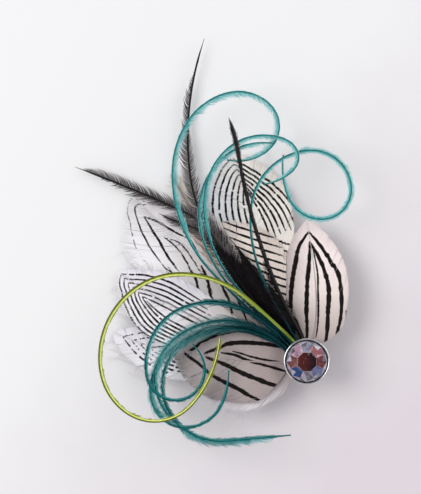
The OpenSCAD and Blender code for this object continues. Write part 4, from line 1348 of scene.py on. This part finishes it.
def floor_material():
    """Pale paint with a painted fall-off of light: whiter towards the key lamp, darker and a little
    rosy away from it. From under the floor it can be seen through."""
    material, g, shader = new_material("Pale painted floor", roughness=0.7,
                                       Specular_IOR_Level=0.15)
    away = g.mul(g.new("SeparateXYZ", Vector=g.place())["Y"], -1.0)
    cloud = g.mul(g.sub(g.noise(30.0, 4.0), 0.5), 0.05)
    # Painted shade: darker and rosier away from the key lamp.
    share = g.span(g.add(away, cloud), -0.02, 0.09)
    g.put(g.mix(share, (0.915, 0.91, 0.905), (0.79, 0.73, 0.76)), shader.inputs["Base Color"])
    see_through = g.nodes.new("ShaderNodeMixShader")
    g.put(g.new("NewGeometry")["Backfacing"], see_through.inputs[0])
    g.put(shader.outputs[0], see_through.inputs[1])
    g.put(g.new("BsdfTransparent")[0], see_through.inputs[2])
    g.put(see_through.outputs[0], g.nodes["Material Output"].inputs["Surface"])
    return material


bpy.ops.object.select_all(action="DESELECT")
bpy.ops.mesh.primitive_plane_add(size=FLOOR_SIZE, location=(*FLOOR_MIDDLE,
                                                            cad_box[0].z - FLOOR_GAP))
floor = bpy.context.object
floor.name = "floor"
floor.data.materials.append(floor_material())


def lamp(name, place, size, power, colour):
    """A round soft lamp that is aimed at the middle of the view."""
    data = bpy.data.lights.new(name, "AREA")
    data.shape = "DISK"
    data.size = size
    data.energy = power
    data.color = colour
    obj = bpy.data.objects.new(name, data)
    bpy.context.scene.collection.objects.link(obj)
    obj.location = Vector(place)
    aim = Vector((*view_centre, 0)) - Vector(place)
    obj.rotation_euler = aim.to_track_quat("-Z", "Y").to_euler()


view_centre = tuple(c * MM for c in VIEW_CENTRE)
# name, place, size, power, colour
lamp("key", (-0.35, 0.65, 0.95), 0.8, 6.9, (1, 1, 1))
lamp("fill", (0.9, -0.35, 0.8), 0.9, 3.2, (1.0, 0.95, 0.96))

world = bpy.data.worlds.new("soft studio")
world.use_nodes = True
sky = Graph(world.node_tree)
# The sky is plain, but glossy surfaces mirror a brighter band in it.
height = sky.new("SeparateXYZ", Vector=sky.new("TexCoord")["Generated"])["Z"]
band = sky.mul(sky.span(height, 0.1, 0.45, 0.15, 0.9), sky.span(height, 0.7, 0.95, 1.0, 0.25))
mirrored = sky.mul(sky.sub(band, PLAIN_SKY), sky.new("LightPath")["Is Glossy Ray"])
background = sky.nodes["Background"]
sky.fill(background, dict(Color=(0.95, 0.96, 1.0), Strength=sky.add(mirrored, PLAIN_SKY)))
bpy.context.scene.world = world
bpy.context.scene.view_settings.view_transform = "Standard"

camera_data = bpy.data.cameras.new("camera")
camera_data.sensor_width = SENSOR
camera_data.lens = SENSOR * CAMERA_AWAY / VIEW_HEIGHT
camera_data.clip_end = 10
camera = bpy.data.objects.new("camera", camera_data)
camera.location = (*view_centre, CAMERA_AWAY * MM)
camera.rotation_euler = (0, 0, -math.radians(VIEW_HEADING))
bpy.context.scene.collection.objects.link(camera)
bpy.context.scene.camera = camera
